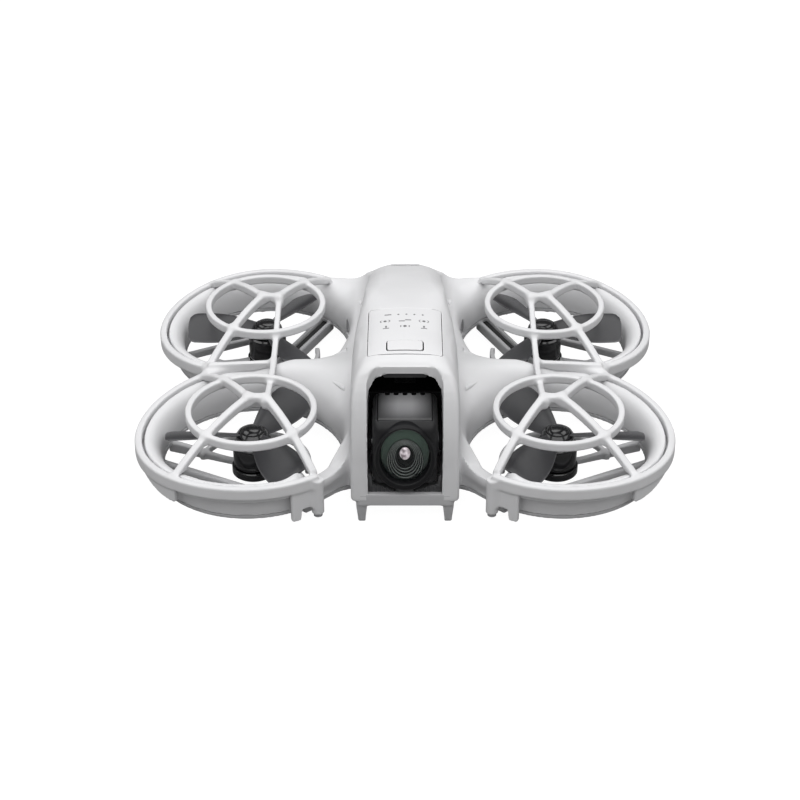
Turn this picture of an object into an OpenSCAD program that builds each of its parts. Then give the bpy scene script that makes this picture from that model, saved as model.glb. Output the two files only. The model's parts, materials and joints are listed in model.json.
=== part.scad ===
// Palm-sized camera drone with four ducted, caged rotors.
// The front faces -Y, +Z is up, and the origin is on the ground below the middle of the four rotors.

/* [Layout] */
// Distance of each rotor axis from the centre plane
rotor_x = 44.4; // [44.2:0.1:45]
// Distance of each rotor axis ahead of or behind the middle
rotor_y = 31; // [30.8:0.1:31.4]

/* [Ducts and guards] */
// Inside radius of a duct throat
throat_r = 26.3; // [26.2:0.1:26.5]
// Height of the bottom edge of the ducts above the ground
duct_z = 6; // [5.8:0.1:6.2]
// Tilt of each duct mouth, outer side down, in degrees
mouth_tilt = 5.5; // [4.5:0.5:6]
// Outer radius of a guard rim
guard_r = 34.1; // [33.8:0.1:34.3]
// Outer radius of the small ring in a guard
guard_ring_r = 19; // [17:0.5:20]
// Width of the guard struts
strut_w = 2.2; // [1.8:0.1:2.6]

/* [Rotors] */
// Radius of a propeller
prop_r = 25.4; // [20:0.1:25.6]
// Number of blades on each propeller
blade_count = 3; // [2:1:4]
// Longest chord of a blade
blade_chord = 12.5; // [9:0.5:13]
// Pitch angle of the blades
blade_pitch = 20; // [12:1:22]
// Outer radius of a motor bell
bell_r = 6; // [5.9:0.1:6.3]

/* [Fuselage] */
// Half of the width of the fuselage at the bottom
body_hw = 15.8; // [15.6:0.1:16]
// Wall thickness of the casing
wall = 1.4; // [1.2:0.1:1.5]
// Half of the width of the camera bay
bay_hw = 10.4; // [10.3:0.1:10.6]
// Height at which the lower frame meets the upper shell
split_z = 12; // [11.5:0.1:12.5]
// Height of the feet below the belly
foot_h = 5.7; // [5:0.1:5.7]

/* [Camera] */
// Height of the tilt axis above the ground
tilt_z = 23; // [22.5:0.1:23.5]
// Distance of the tilt axis ahead of the middle
tilt_y = 46; // [45.8:0.1:46.2]
// Half of the width of the camera housing
cam_hw = 9.1; // [8.9:0.05:9.15]
// Radius of the lens bezel
bezel_r = 8.85; // [8.4:0.05:8.9]

/* [Battery] */
// Half of the width of the battery
batt_hw = 12.4; // [12:0.1:12.5]
// Height of the top of the battery above the ground
batt_top = 18.2; // [17:0.1:18.3]

/* [Hidden] */
$fn = 64;

SHELL_C = [0.90, 0.90, 0.91];
FRAME_C = [0.62, 0.62, 0.63];
DARK_C = [0.16, 0.16, 0.17];
BLACK_C = [0.06, 0.06, 0.07];
PROP_C = [0.26, 0.26, 0.27];
STEEL_C = [0.72, 0.73, 0.75];
COPPER_C = [0.72, 0.42, 0.22];
BOARD_C = [0.05, 0.28, 0.16];
GOLD_C = [0.83, 0.68, 0.28];
BATT_C = [0.45, 0.45, 0.47];
GLASS_C = [0.10, 0.20, 0.17];

arm_angle = 126;      // direction of the arm that carries a motor, from the outside
run = 0.05;           // radial clearance of a turning shaft
slide_gap = 0.15;     // gap around a piece that slides

// ducts
ring_top = 7.2;       // top of the frame's duct ring, where the shell's duct starts
mouth_z = 14;         // height of the point that a duct mouth tilts about
duct_out_r = 29.4;    // outer radius of a duct low down
lip_r = 31.4;         // outer radius of a duct lip
lip_h = 3.2;          // lip above the tilt point
guard_gap = 0.35;     // dark line between the duct lip and the guard rim
rim_low = 1.5;        // bottom of the guard rim above the tilt point
rim_top = 3.9;        // top of the guard rim above the tilt point
hub_z = 27.2;         // top of the guard where its struts meet
ring_z = 24.4;        // top of the small guard ring
strut_h = 2.5;        // depth of the struts
post_r = 2;           // radius of the guard's screw posts
post_z = 13.5;        // height at which guard posts stand on the shell

// motors
cup_z = 2.5;          // bottom of the motor cups
base_z = 3.7;         // top of the cup floor, where the stators stand
bell_z0 = 5.4;
bell_z1 = 12.8;
shaft_r = 0.5;
bearing_r = 1.5;
blade_z = 14.7;       // middle height of the blades
hub_top = 16.6;

// fuselage
belly_z = foot_h;
nose_y = -54;
tail_y = 63;
bulk_y = -29.4;       // back wall of the camera bay
cap_y = 59;           // seam between battery case and end cap
board_z = 24;
board_t = 1.1;
panel_t = 0.8;
panel_hw = 10.4;
panel_y0 = -39;
panel_y1 = -14;
button_y = -35.6;
power_y = 44.5;
power_r = 4.6;

// where the guards are screwed down: front, middle and rear posts on the right side
POSTS = [[24.4, -57.8], [60.4, 0], [24.7, 58.7]];
CORNERS = [[1, -1], [-1, -1], [1, 1], [-1, 1]];
// plan of the webs that join the ducts to the fuselage, on the right side
WEB_FRONT = [[13, -40], [13, -54], [20, -55.4], [24, -57.6], [30, -59], [31, -44]];
WEB_REAR = [[12.6, 40], [12.6, 57], [18, 59.6], [25, 60.4], [31, 58.4], [31, 46]];

/* ---------- curves ---------- */

function bezier(p, t) =
    pow(1 - t, 3) * p[0] + 3 * t * pow(1 - t, 2) * p[1] + 3 * t * t * (1 - t) * p[2]
    + pow(t, 3) * p[3];
function curve(p, n, first = 0) = [for (i = [first:n]) bezier(p, i / n)];
function arc(c, r, a0, a1, n) =
    [for (i = [0:n]) c + r * [cos(a0 + (a1 - a0) * i / n), sin(a0 + (a1 - a0) * i / n)]];

// side view of the fuselage, moved inwards by t
function side_outline(t) = concat(
    curve([[-42, 46.8 - t], [-20, 52 - t], [20, 46 - t], [60.5 - t, 22.5 - t]], 14),
    curve([[60.5 - t, 22.5 - t], [62 - t, 21 - t], [tail_y - t, 19], [tail_y - t, 15]], 4, 1),
    [[tail_y - t, belly_z + 2 + t], [tail_y - 2 - t, belly_z + t]],
    [[nose_y + 2 + t, belly_z + t], [nose_y + t, belly_z + 2 + t]],
    curve([[-53.5 + t, 22], [-52.5 + t, 32], [-49 + t, 44 - t], [-42, 46.8 - t]], 6)
);

// front view of the fuselage, moved inwards by t
function half_front(t) = concat(
    [[body_hw - 2 - t, belly_z + t], [body_hw - t, belly_z + 2 + t], [body_hw - t, 12]],
    curve([[body_hw - 0.5 - t, 36], [body_hw - 0.8 - t, 45 - t], [11.5 - t, 48 - t],
           [0, 48.8 - t]], 6)
);
function front_outline(t) = concat(
    half_front(t),
    [for (i = [len(half_front(t)) - 2:-1:0]) [-half_front(t)[i][0], half_front(t)[i][1]]]
);

// plan view of the fuselage, moved inwards by t
function plan_outline(t) = [
    [body_hw - 0.6 - t, -60], [body_hw - t, -40], [body_hw - t, 30], [14.8 - t, 66],
    [t - 14.8, 66], [t - body_hw, 30], [t - body_hw, -40], [t + 0.6 - body_hw, -60],
];

module fuselage(t) {
    intersection() {
        rotate([90, 0, 90]) translate([0, 0, -20]) linear_extrude(40) polygon(side_outline(t));
        translate([0, 70, 0]) rotate([90, 0, 0]) linear_extrude(140) polygon(front_outline(t));
        linear_extrude(60) polygon(plan_outline(t));
    }
}

/* ---------- helpers ---------- */

module block(x, y, z) {
    translate([x[0], y[0], z[0]]) cube([x[1] - x[0], y[1] - y[0], z[1] - z[0]]);
}
// cylinder on a vertical axis
module post(p, r, z0, z1) {
    translate([p[0], p[1], z0]) cylinder(r = r, h = z1 - z0);
}
// cylinder on an axis along X
module pin_x(x, y, z, r) {
    translate([x[0], y, z]) rotate([0, 90, 0]) cylinder(r = r, h = x[1] - x[0]);
}
// cylinder on an axis along Y
module pin_y(x, y, z, r) {
    translate([x, y[1], z]) rotate([90, 0, 0]) cylinder(r = r, h = y[1] - y[0]);
}
module tube(r_out, r_in, z0, z1) {
    difference() {
        post([0, 0], r_out, z0, z1);
        post([0, 0], r_in, z0 - 1, z1 + 1);
    }
}
module both_sides() {
    children();
    mirror([1, 0, 0]) children();
}
module at_rotor(c) {
    translate([c[0] * rotor_x, c[1] * rotor_y, 0]) children();
}
module at_rotors() {
    for (c = CORNERS) at_rotor(c) children();
}
// the tilted plane of a duct mouth on the right side, front (-1) or rear (1)
module at_mouth(s) {
    translate([rotor_x, s * rotor_y, mouth_z]) rotate([0, mouth_tilt, 0]) children();
}

/* ---------- casing ---------- */

module bell_cut(s) {
    flare = [for (a = [15:15:90]) [25.9 + 5.1 * (1 - cos(a)), -5.5 + (5.5 + lip_h) * sin(a)]];
    at_mouth(s) rotate_extrude() polygon(concat([[0, flare[0][1]]], flare, [[31, 14], [0, 14]]));
}
module duct_outside(s) {
    at_mouth(s) rotate_extrude()
        polygon([[0, -3], [30.3, -3], [lip_r, 0], [lip_r, lip_h - 0.3], [lip_r - 0.3, lip_h],
                 [0, lip_h]]);
    post([rotor_x, s * rotor_y], duct_out_r, ring_top, mouth_z + 0.5);
}
// solid webs between the ducts and the fuselage, before the duct mouths are cut
module webs() {
    translate([0, 0, ring_top]) linear_extrude(post_z - ring_top) polygon(WEB_FRONT);
    difference() {
        translate([0, 0, 13]) linear_extrude(4.6) polygon(WEB_REAR);
        // room for the end of the guard rim
        intersection() {
            translate([rotor_x, rotor_y, 0]) post([0, 0], guard_r + 0.2, 15.2, 20);
            block([16, 40], [54.5, 70], [15, 20]);
        }
        post(POSTS[2], post_r + 0.15, post_z, 20);
    }
    block([14, 44], [-13, 13], [12.5, 17.8]);
    block([48, 58], [-1.3, 1.3], [ring_top, post_z - 0.5]);
    for (p = POSTS) post(p, post_r + 0.5, ring_top, post_z);
}
module battery_bay(extra) {
    block([-batt_hw - extra, batt_hw + extra], [-6, tail_y + 5],
          [belly_z + 1.2, batt_top + extra]);
}
module latch_slots() {
    both_sides() block([batt_hw - 1, body_hw + 2], [47, tail_y + 5], [9.5, 16.5]);
}
module screw_holes(r) {
    both_sides() for (p = POSTS) post(p, r, 0, 30);
    both_sides() for (y = [-41, 41]) post([13.1, y], r, 0, 17);
}

module upper_shell() {
    color(SHELL_C) difference() {
        union() {
            intersection() {
                fuselage(0);
                block([-20, 20], [-60, 70], [split_z, 60]);
            }
            both_sides() {
                for (s = [-1, 1]) duct_outside(s);
                webs();
            }
        }
        // rooms inside: the body behind the bulkhead, and the camera bay ahead of it
        intersection() {
            fuselage(wall);
            block([-20, 20], [bulk_y + 1.2, 70], [0, 60]);
        }
        intersection() {
            fuselage(wall);
            block([-bay_hw, bay_hw], [-60, bulk_y], [0, 60]);
        }
        block([-bay_hw, bay_hw], [-60, -43.5], [0, 60]);
        // hollow pillars, and the gap above the bulkhead
        intersection() {
            fuselage(wall);
            both_sides() block([bay_hw + 1.2, 20], [-50, bulk_y + 2], [18, 60]);
        }
        block([-9, 9], [bulk_y - 1, bulk_y + 2], [38, 45]);
        // the belly tray takes the space below the split
        block([-body_hw, body_hw], [-60, 70], [0, split_z]);
        both_sides() for (s = [-1, 1]) {
            post([rotor_x, s * rotor_y], throat_r, 0, 40);
            // the duct wall is hollow, open underneath
            translate([rotor_x, s * rotor_y, 0]) tube(28.4, 27.3, 0, 12.5);
            difference() {
                bell_cut(s);
                block([-1, body_hw + 0.4], [-70, 70], [0, 60]);
            }
        }
        // vents from the body into the rear ducts
        both_sides() block([14, 20], [30, 39], [split_z - 1, split_z + 2.5]);
        battery_bay(slide_gap);
        panel_space(0.05);
        block([-5.4, 5.4], [-38, -32.5], [40, 60]);
        post([0, power_y], power_r + 0.1, 20, 60);
        latch_slots();
        block([-4.7, 4.7], [50, 70], [batt_top + 1.3, batt_top + 4.5]);
        screw_holes(0.62);
    }
}

// skin of the fuselage from the surface down to depth t
module skin(t) {
    difference() {
        fuselage(0);
        fuselage(t);
    }
}
module panel_space(extra) {
    intersection() {
        skin(panel_t);
        block([-panel_hw - extra, panel_hw + extra], [panel_y0 - extra, panel_y1 + extra],
              [40, 60]);
    }
}

module frame_ring(s) {
    difference() {
        post([rotor_x, s * rotor_y], 29.2, duct_z, ring_top);
        post([rotor_x, s * rotor_y], throat_r, 0, 40);
    }
}
// spokes and cup that hold a motor, around the rotor's axis; front (-1) or rear (1)
module motor_mount(s) {
    difference() {
        union() {
            post([0, 0], 7, cup_z, base_z);
            tube(7, 6.3, cup_z, 5);
            rotate([0, 0, -20 * s]) block([6.4, 28], [-1, 1], [base_z - 0.6, 6.6]);
            // bar that runs past the cup from wall to wall
            rotate([0, 0, -27 * s]) mirror([0, s > 0 ? 1 : 0, 0])
                block([-24.6, 24.6], [-12.7, -10.9], [base_z - 0.6, 6.2]);
            // main arm towards the fuselage
            rotate([0, 0, arm_angle * s])
                block([6.4, 28], [-3.4, 3.4], [base_z - 0.8, ring_top]);
            // curved brace half-way round the motor
            intersection() {
                tube(16.8, 15.4, base_z, 5.6);
                rotate([0, 0, s > 0 ? -193 : 13]) block([-20, 20], [0, 20], [0, 9]);
            }
        }
        // channel for the motor's wires
        rotate([0, 0, arm_angle * s]) block([5, 30], [-1.6, 1.6], [5.2, 9]);
        post([0, 0], bearing_r + 0.7, 0, 9);
        for (a = [30:120:270]) rotate([0, 0, a]) post([4, 0], 0.62, 0, 9);
    }
}

module lower_frame() {
    color(FRAME_C) difference() {
        union() {
            // belly tray
            intersection() {
                fuselage(0);
                block([-20, 20], [-60, 70], [0, split_z]);
            }
            // roof and side walls of the battery bay
            difference() {
                block([-13.3, 13.3], [-7.2, 58], [belly_z + 0.5, batt_top + 1]);
                block([-20, 20], [46, 70], [split_z, 60]);
            }
            both_sides() {
                for (s = [-1, 1]) {
                    frame_ring(s);
                    translate([rotor_x, s * rotor_y, 0]) motor_mount(s);
                }
                difference() {
                    translate([0, 0, duct_z]) linear_extrude(ring_top - duct_z) {
                        polygon(WEB_FRONT);
                        polygon(WEB_REAR);
                        polygon([[13, -13], [44, -4], [58, -1.3], [58, 1.3], [44, 4],
                                 [13, 13]]);
                        for (p = POSTS) translate(p) circle(post_r + 0.5);
                    }
                    for (s = [-1, 1]) post([rotor_x, s * rotor_y], throat_r, 0, 40);
                }
                // feet
                translate([12.3, -52, 0]) foot();
                translate([11.6, 54, 0]) foot();
            }
        }
        // room inside the tray, ahead of the battery bay
        intersection() {
            fuselage(wall);
            block([-20, 20], [bulk_y + 1.2, -7.2], [0, 60]);
        }
        intersection() {
            fuselage(wall);
            block([-bay_hw, bay_hw], [-60, bulk_y], [0, 60]);
        }
        block([-bay_hw, bay_hw], [-60, -50], [9.9, 60]);
        battery_bay(slide_gap);
        latch_slots();
        post([0, -18], 4.1, 0, 60);
        block([-9.1, 9.1], [-25.1, -10.9], [0, belly_z + 0.7]);
        block([-6.2, 6.2], [-9, -4], [9, 14]);
        both_sides() for (p = POSTS) post(p, 0.62, 0, 30);
        both_sides() for (p = POSTS) post(p, 1.3, 0, duct_z + 0.5);
        both_sides() for (y = [-41, 41]) post([13.1, y], 0.62, 0, 17);
        both_sides() for (y = [-41, 41]) post([13.1, y], 1.3, 0, belly_z + 0.8);
    }
}
module foot() {
    rotate([90, 0, 0]) linear_extrude(3, center = true)
        polygon([[-1, 0], [1, 0], [1.6, foot_h + 1], [-1.6, foot_h + 1]]);
}

/* ---------- guards ---------- */

// top of the guard rim on the right side, dx to the right of the rotor's axis
function rim_z(dx) = mouth_z + rim_top - tan(mouth_tilt) * dx;

module strut(a, u_end, z_end, w) {
    n = 8;
    u = [for (i = [0:n]) 1 + (u_end - 1) * i / n];
    top = [for (i = [0:n]) [u[i], hub_z - (hub_z - z_end) * pow(i / n, 2)]];
    low = [for (i = [n:-1:0]) [u[i], top[i][1] - strut_h * (1 - 0.3 * i / n)]];
    rotate([0, 0, a]) rotate([90, 0, 0]) linear_extrude(w, center = true)
        polygon(concat(top, low));
}
module rim(s, a0, sweep) {
    at_mouth(s) rotate([0, 0, a0]) rotate_extrude(angle = sweep)
        polygon([[lip_r + guard_gap, rim_low], [guard_r - 0.5, rim_low],
                 [guard_r, rim_low + 0.8], [guard_r, rim_top - 0.9], [guard_r - 0.9, rim_top],
                 [lip_r + guard_gap + 0.5, rim_top], [lip_r + guard_gap, rim_top - 0.4]]);
}
module guard_rims() {
    rim(-1, 232.7, 190.6);
    rim(1, -63.3, 188.8);
}
module guard_rings() {
    for (s = [-1, 1]) translate([rotor_x, s * rotor_y, 0]) {
        translate([0, 0, ring_z - 2.8]) tube(guard_ring_r, guard_ring_r - 1.8, 0, 2.8);
        post([0, 0], 3.2, hub_z - 2.7, hub_z + 0.1);
    }
}
module guard_struts() {
    translate([rotor_x, -rotor_y, 0]) {
        strut(-45, 32.6, rim_z(23), strut_w);
        strut(230, 32.8, rim_z(-20), strut_w);
        strut(58, 33.4, rim_z(17), strut_w);
    }
    translate([rotor_x, rotor_y, 0]) {
        strut(-62, 33.8, rim_z(16), strut_w);
        strut(52.6, 32.8, rim_z(20), strut_w);
        strut(125, 32.8, rim_z(-19), strut_w);
    }
}
// spine from one hub to the other, low in the middle
module guard_spine() {
    translate([rotor_x - 2.1, 0, 0]) rotate([90, 0, 90])
        linear_extrude(1.6, center = true) polygon(concat(
            [for (y = [-30:5:30]) [y, 24.5 - 2.7 * cos(6 * y)]],
            [for (y = [30:-5:-30]) [y, 22.3 - 2.7 * cos(6 * y)]]));
}
// tab that hangs from the front of the rim, with a bottom edge that rises outwards
module guard_tabs() {
    r = lip_r + guard_gap + 0.5;
    low = 4.6;
    translate([rotor_x, -rotor_y, 0]) difference() {
        rotate([0, 0, 313]) rotate_extrude(angle = 37)
            polygon([[r, low], [guard_r - 0.5, low], [guard_r - 0.3, 13], [r, 13.4]]);
        rotate([0, 0, 331.5]) translate([20, -6, low]) rotate([22, 0, 0]) translate([0, 0, -20])
            cube([20, 40, 20]);
    }
}
module guard_posts() {
    for (p = POSTS) post(p, post_r, post_z, p[1] == 0 ? 16.4 : 18.6);
}
module guard_right_side() {
    difference() {
        union() {
            guard_frame();
            guard_tabs();
            guard_spine();
        }
        guard_clearance();
    }
}
module guard_frame() {
    guard_rims();
    guard_rings();
    guard_struts();
    guard_posts();
}
// screw holes, and clearance to the shell's duct walls
module guard_clearance() {
    for (p = POSTS) post(p, 0.62, 0, post_z + 2.5);
    for (s = [-1, 1]) at_mouth(s) post([0, 0], lip_r + 0.1, -12, lip_h + 0.1);
    for (s = [-1, 1]) post([rotor_x, s * rotor_y], duct_out_r + 0.1, 0, mouth_z);
}
module guard_right() {
    color(SHELL_C) guard_right_side();
}
module guard_left() {
    color(SHELL_C) mirror([1, 0, 0]) guard_right_side();
}

module screw(p, head_z, head_h, head_r, shank_r, len) {
    post(p, head_r, head_z, head_z + head_h);
    post(p, shank_r, head_z, head_z + len);
}
module guard_screws() {
    color(STEEL_C) both_sides() for (p = POSTS) screw(p, duct_z - 0.2, 0.7, 1.25, 0.6, 9);
}
module frame_screws() {
    color(STEEL_C) both_sides() for (y = [-41, 41])
        screw([13.1, y], belly_z + 0.1, 0.7, 1.25, 0.6, 9);
}

/* ---------- electronics ---------- */

module main_board() {
    color(BOARD_C) difference() {
        block([-12, 12], [-27, 50], [board_z, board_z + board_t]);
        for (x = [-10, 10], y = [-24, 15]) post([x, y], 0.8, 0, 40);
    }
}
module board_chips() {
    color(BLACK_C) translate([0, 0, board_z + board_t]) {
        block([-7, 7], [-18, -4], [0, 1.3]);
        block([-8, -1], [2, 10], [0, 1.3]);
        block([2, 9], [1, 8], [0, 1.3]);
        for (x = [-9:4.5:9]) block([x - 1.4, x + 1.4], [36, 39], [0, 0.9]);
        block([-1.6, 1.6], [power_y - 1.6, power_y + 1.6], [0, 0.7]);
    }
}
module heat_sink() {
    z = board_z + board_t + 1.3;
    color("silver") {
        block([-10, 10], [-22, 12], [z, z + 1.2]);
        for (x = [-9.4:2.6:9.4]) block([x - 0.4, x + 0.4], [-22, 12], [z, z + 7]);
    }
}
module antennas() {
    color(BOARD_C) both_sides() block([12.9, 13.3], [-20, 12], [25.5, 34]);
}
module satellite_receiver() {
    z = board_z + board_t;
    color([0.86, 0.80, 0.66]) {
        block([-8, 8], [15, 31], [z, z + 4]);
        post([0, 23], 2, z, z + 4.3);
    }
}
module indicator_board() {
    color(BOARD_C) block([-8, 8], [-37, -16], [43.4, 44.2]);
    color(BLACK_C) block([-2, 2], [button_y - 1.5, button_y + 1.5], [44.2, 44.9]);
}
module indicator_panel() {
    color(SHELL_C) difference() {
        panel_space(-0.05);
        block([-5, 5], [button_y - 2.1, button_y + 2.8], [40, 60]);
    }
}
module vision_camera() {
    color(BLACK_C) {
        post([0, -18], 3.9, belly_z + 0.8, 11);
        block([-5, 5], [-23, -13], [11, 12.2]);
    }
}
module belly_window() {
    color(GLASS_C) block([-9, 9], [-25, -11], [belly_z + 0.05, belly_z + 0.65]);
}
module charging_socket() {
    z = batt_top + 1.4;
    color(STEEL_C) difference() {
        block([-4.5, 4.5], [50.5, 59], [z, z + 3]);
        block([-4.1, 4.1], [51.5, 60], [z + 0.4, z + 2.6]);
    }
    color(BLACK_C) block([-3.2, 3.2], [51.4, 57.5], [z + 1.1, z + 1.8]);
}
module battery_contacts() {
    color(GOLD_C) {
        block([-6, 6], [-8.9, -7.3], [9.2, 13.8]);
        for (x = [-4.5:1.8:4.5]) block([x - 0.4, x + 0.4], [-7.4, -5.2], [10.2, 12.8]);
    }
}
module bay_liner() {
    color(BLACK_C) {
        difference() {
            block([-bay_hw + 0.1, bay_hw - 0.1], [bulk_y - 0.8, bulk_y - 0.1], [34, 43]);
            block([-3.2, 3.2], [bulk_y - 1, bulk_y], [39.4, 40.1]);
        }
        translate([0, -40.4, 0]) rotate([90, 0, 0]) linear_extrude(0.8)
            polygon([[-5.4, 41.8], [5.4, 41.8], [7.3, 44.3], [-7.3, 44.3]]);
        block([-7.3, 7.3], [-41.2, bulk_y - 0.3], [42.6, 43.3]);
    }
}
module ribbon_cable() {
    color([0.75, 0.50, 0.16]) {
        block([-3, 3], [-31.2, -25], [39.6, 39.9]);
        block([-3, 3], [-25.3, -25], [26, 39.9]);
        block([-3, 3], [-31.5, -31.2], [33.2, 39.9]);
        block([-3, 3], [-25.3, -23], [board_z + board_t, board_z + board_t + 1.2]);
        block([-3, 3], [-25.3, -24.6], [board_z + board_t, 27]);
    }
}

/* ---------- motors ---------- */

teeth = 9;
module motor_stators() {
    color(STEEL_C) at_rotors() difference() {
        union() {
            post([0, 0], 5.8, base_z, base_z + 0.9);
            post([0, 0], bearing_r + 0.6, base_z - 1.2, 10.8);
            for (i = [1:teeth]) rotate([0, 0, i * 360 / teeth]) {
                block([1.8, 4.5], [-0.35, 0.35], [6.6, 9.4]);
                block([4, 4.5], [-0.9, 0.9], [6.6, 9.4]);
            }
        }
        post([0, 0], bearing_r, 0, 20);
        for (a = [30:120:270]) rotate([0, 0, a]) post([4, 0], 0.62, 0, 4.3);
    }
}
module motor_windings() {
    color(COPPER_C) at_rotors() for (i = [1:teeth]) rotate([0, 0, i * 360 / teeth])
        difference() {
            block([2.5, 3.9], [-0.75, 0.75], [6.1, 9.9]);
            block([2, 5], [-0.37, 0.37], [6.58, 9.42]);
        }
}
module motor_bearings() {
    color(STEEL_C) at_rotors() for (z = [3, 9.4]) difference() {
        post([0, 0], bearing_r, z, z + 1.3);
        post([0, 0], shaft_r + run, 0, 20);
    }
}
module motor_screws() {
    color(STEEL_C) at_rotors() for (a = [30:120:270]) rotate([0, 0, a])
        screw([4, 0], cup_z - 0.6, 0.6, 1, 0.6, 2.3);
}
// three wires side by side, from a motor along its arm and up beside the arm's end
module motor_wires() {
    color(BLACK_C) both_sides() for (s = [-1, 1]) translate([rotor_x, s * rotor_y, 0])
        rotate([0, 0, arm_angle * s]) for (y = [-0.95, 0, 0.95])
            translate([6.9, y, 5.7]) rotate([0, 90, 0]) cylinder(r = 0.45, h = 19);
}

module motor_bell(c) {
    color(BLACK_C) at_rotor(c) {
        difference() {
            post([0, 0], bell_r, bell_z0, bell_z1);
            post([0, 0], bell_r - 0.8, 0, bell_z1 - 1);
            post([0, 0], shaft_r, 0, 20);
            for (a = [0:60:300]) rotate([0, 0, a]) post([3.5, 0], 1, 10, 20);
        }
    }
    color(STEEL_C) at_rotor(c) tube(bell_r - 0.82, bell_r - 1.2, 6.2, 10.2);
}
module motor_shaft(c) {
    color(STEEL_C) at_rotor(c) post([0, 0], shaft_r, 3.1, 16.2);
}
// outline of one blade along +X, a little wider on its trailing side
function blade_outline() = let (n = 8) concat(
    [for (i = [0:n]) [2 + (prop_r - 2.2) * i / n, blade_chord * lead(i / n)]],
    [for (i = [n:-1:0]) [2 + (prop_r - 2.2) * i / n, -blade_chord * trail(i / n)]]);
function full(t) = sin(90 * min(1, 1.3 * t)) * (1 - 0.3 * pow(t, 12));
function lead(t) = 0.15 + 0.34 * full(t);
function trail(t) = 0.15 + 0.36 * full(t);

module propeller(c) {
    spin = c[0] * c[1];
    color(PROP_C) at_rotor(c) difference() {
        union() {
            post([0, 0], 4.8, bell_z1 + 0.05, hub_top - 1.5);
            post([0, 0], 3.5, bell_z1 + 1, hub_top);
            for (i = [0:blade_count - 1])
                rotate([0, 0, (c[0] > 0 ? 0 : 180) + i * 360 / blade_count])
                    difference() {
                        intersection() {
                            post([0, 0], prop_r, 0, 30);
                            translate([0, 0, blade_z]) mirror([0, spin > 0 ? 1 : 0, 0])
                                rotate([-blade_pitch, 0, 0]) linear_extrude(0.9, center = true)
                                    polygon(blade_outline());
                        }
                        post([0, 0], bell_r + 0.4, 0, bell_z1 + 0.1);
                    }
        }
        post([0, 0], shaft_r, 0, 30);
    }
}
module hub_cap(c) {
    color(BLACK_C) at_rotor(c) intersection() {
        post([0, 0], 3.4, hub_top, hub_top + 2);
        translate([0, 0, hub_top - 5.2]) sphere(6.2);
    }
}

/* ---------- camera ---------- */

module gimbal_bracket() {
    color(DARK_C) {
        block([-10.2, 10.2], [-33.2, -32.4], [15, 31]);
        both_sides() block([9.4, 10.2], [-33.2 - 13, -32.5], [20.4, 25.6]);
        both_sides() pin_x([9.4, 10.2], -tilt_y, tilt_z, 2.6);
    }
}
module gimbal_dampers() {
    color(BLACK_C) both_sides() for (z = [18, 28])
        pin_y(7.5, [-32.4, bulk_y], z, 1.5);
}
module gimbal_stator() {
    color(COPPER_C) difference() {
        pin_x([5.7, 9.4], -tilt_y, tilt_z, 4.4);
        pin_x([5, 7.6], -tilt_y, tilt_z, 1.6);
    }
}
module pivot_pin() {
    color(STEEL_C) pin_x([-9.4, -6.6], -tilt_y, tilt_z, 1);
}

// side view of the camera housing around the tilt axis, with round corners of radius r
function head_outline(t) = let (r = 4 - t) concat(
    arc([-33.4 - 7.6, 29.6], r, 0, 90, 5), arc([-48, 29.6], r, 90, 180, 5),
    arc([-48, 16.4], r, 180, 270, 5), arc([-33.4 - 7.6, 16.4], r, 270, 360, 5));
module head(t, hw) {
    rotate([90, 0, 90]) linear_extrude(2 * hw, center = true) polygon(head_outline(t));
}
module camera_housing() {
    color(DARK_C) difference() {
        intersection() {
            head(0, cam_hw);
            block([-20, 20], [-60, -30], [0, 31]);
        }
        head(1.2, cam_hw - 1.2);
        block([-7.9, 7.9], [-50, -39], [20, 40]);
        pin_y(0, [-60, -50], 22.6, 6.3);
        pin_x([5.4, 10], -tilt_y, tilt_z, 5.92);
        pin_x([-10, -5], -tilt_y, tilt_z, 2.2);
    }
}
module camera_cap() {
    color([0.45, 0.45, 0.46]) difference() {
        intersection() {
            head(0, cam_hw);
            block([-20, 20], [-60, -30], [31, 40]);
        }
        head(1.2, cam_hw - 1.2);
        for (x = [-5:2.5:5]) block([x - 0.6, x + 0.6], [-40, -36], [31.9, 40]);
    }
}
// plan of the bezel: a circle drawn out a little in height
module bezel_plan(r, stretch) {
    for (y = [-stretch, stretch]) translate([0, y]) circle(r);
    square([2 * r, 2 * stretch], center = true);
}
module lens_bezel() {
    color(BLACK_C) translate([0, -52, tilt_z - 0.4]) rotate([90, 0, 0]) difference() {
        linear_extrude(3) bezel_plan(bezel_r, 1.6);
        translate([0, 0, -1]) cylinder(r = 6.2, h = 10);
        translate([0, 0, 2]) cylinder(r = 7.6, h = 10);
    }
}
module lens_glass() {
    color(GLASS_C) pin_y(0, [-54.8, -54], tilt_z - 0.4, 7.5);
}
module lens_barrel() {
    color(BLACK_C) difference() {
        union() {
            pin_y(0, [-53.9, -52.1], tilt_z - 0.4, 6.1);
            pin_y(0, [-52.2, -45], tilt_z - 0.4, 5.3);
        }
        pin_y(0, [-60, -51], tilt_z - 0.4, 4.6);
        pin_y(0, [-52, -40], tilt_z - 0.4, 3.4);
    }
    color(GLASS_C) pin_y(0, [-51.6, -51], tilt_z - 0.4, 4.5);
    color(GLASS_C) pin_y(0, [-50, -46], tilt_z - 0.4, 3.3);
}
module image_sensor() {
    color(BOARD_C) block([-4.6, 4.6], [-44, -43.2], [17.2, 27.8]);
    color(BLACK_C) block([-3, 3], [-44.9, -44], [19.6, 25.6]);
}
module gimbal_magnet() {
    color(STEEL_C) difference() {
        pin_x([5.6, 8.6], -tilt_y, tilt_z, 5.9);
        pin_x([0, 10], -tilt_y, tilt_z, 4.7);
    }
}
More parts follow.
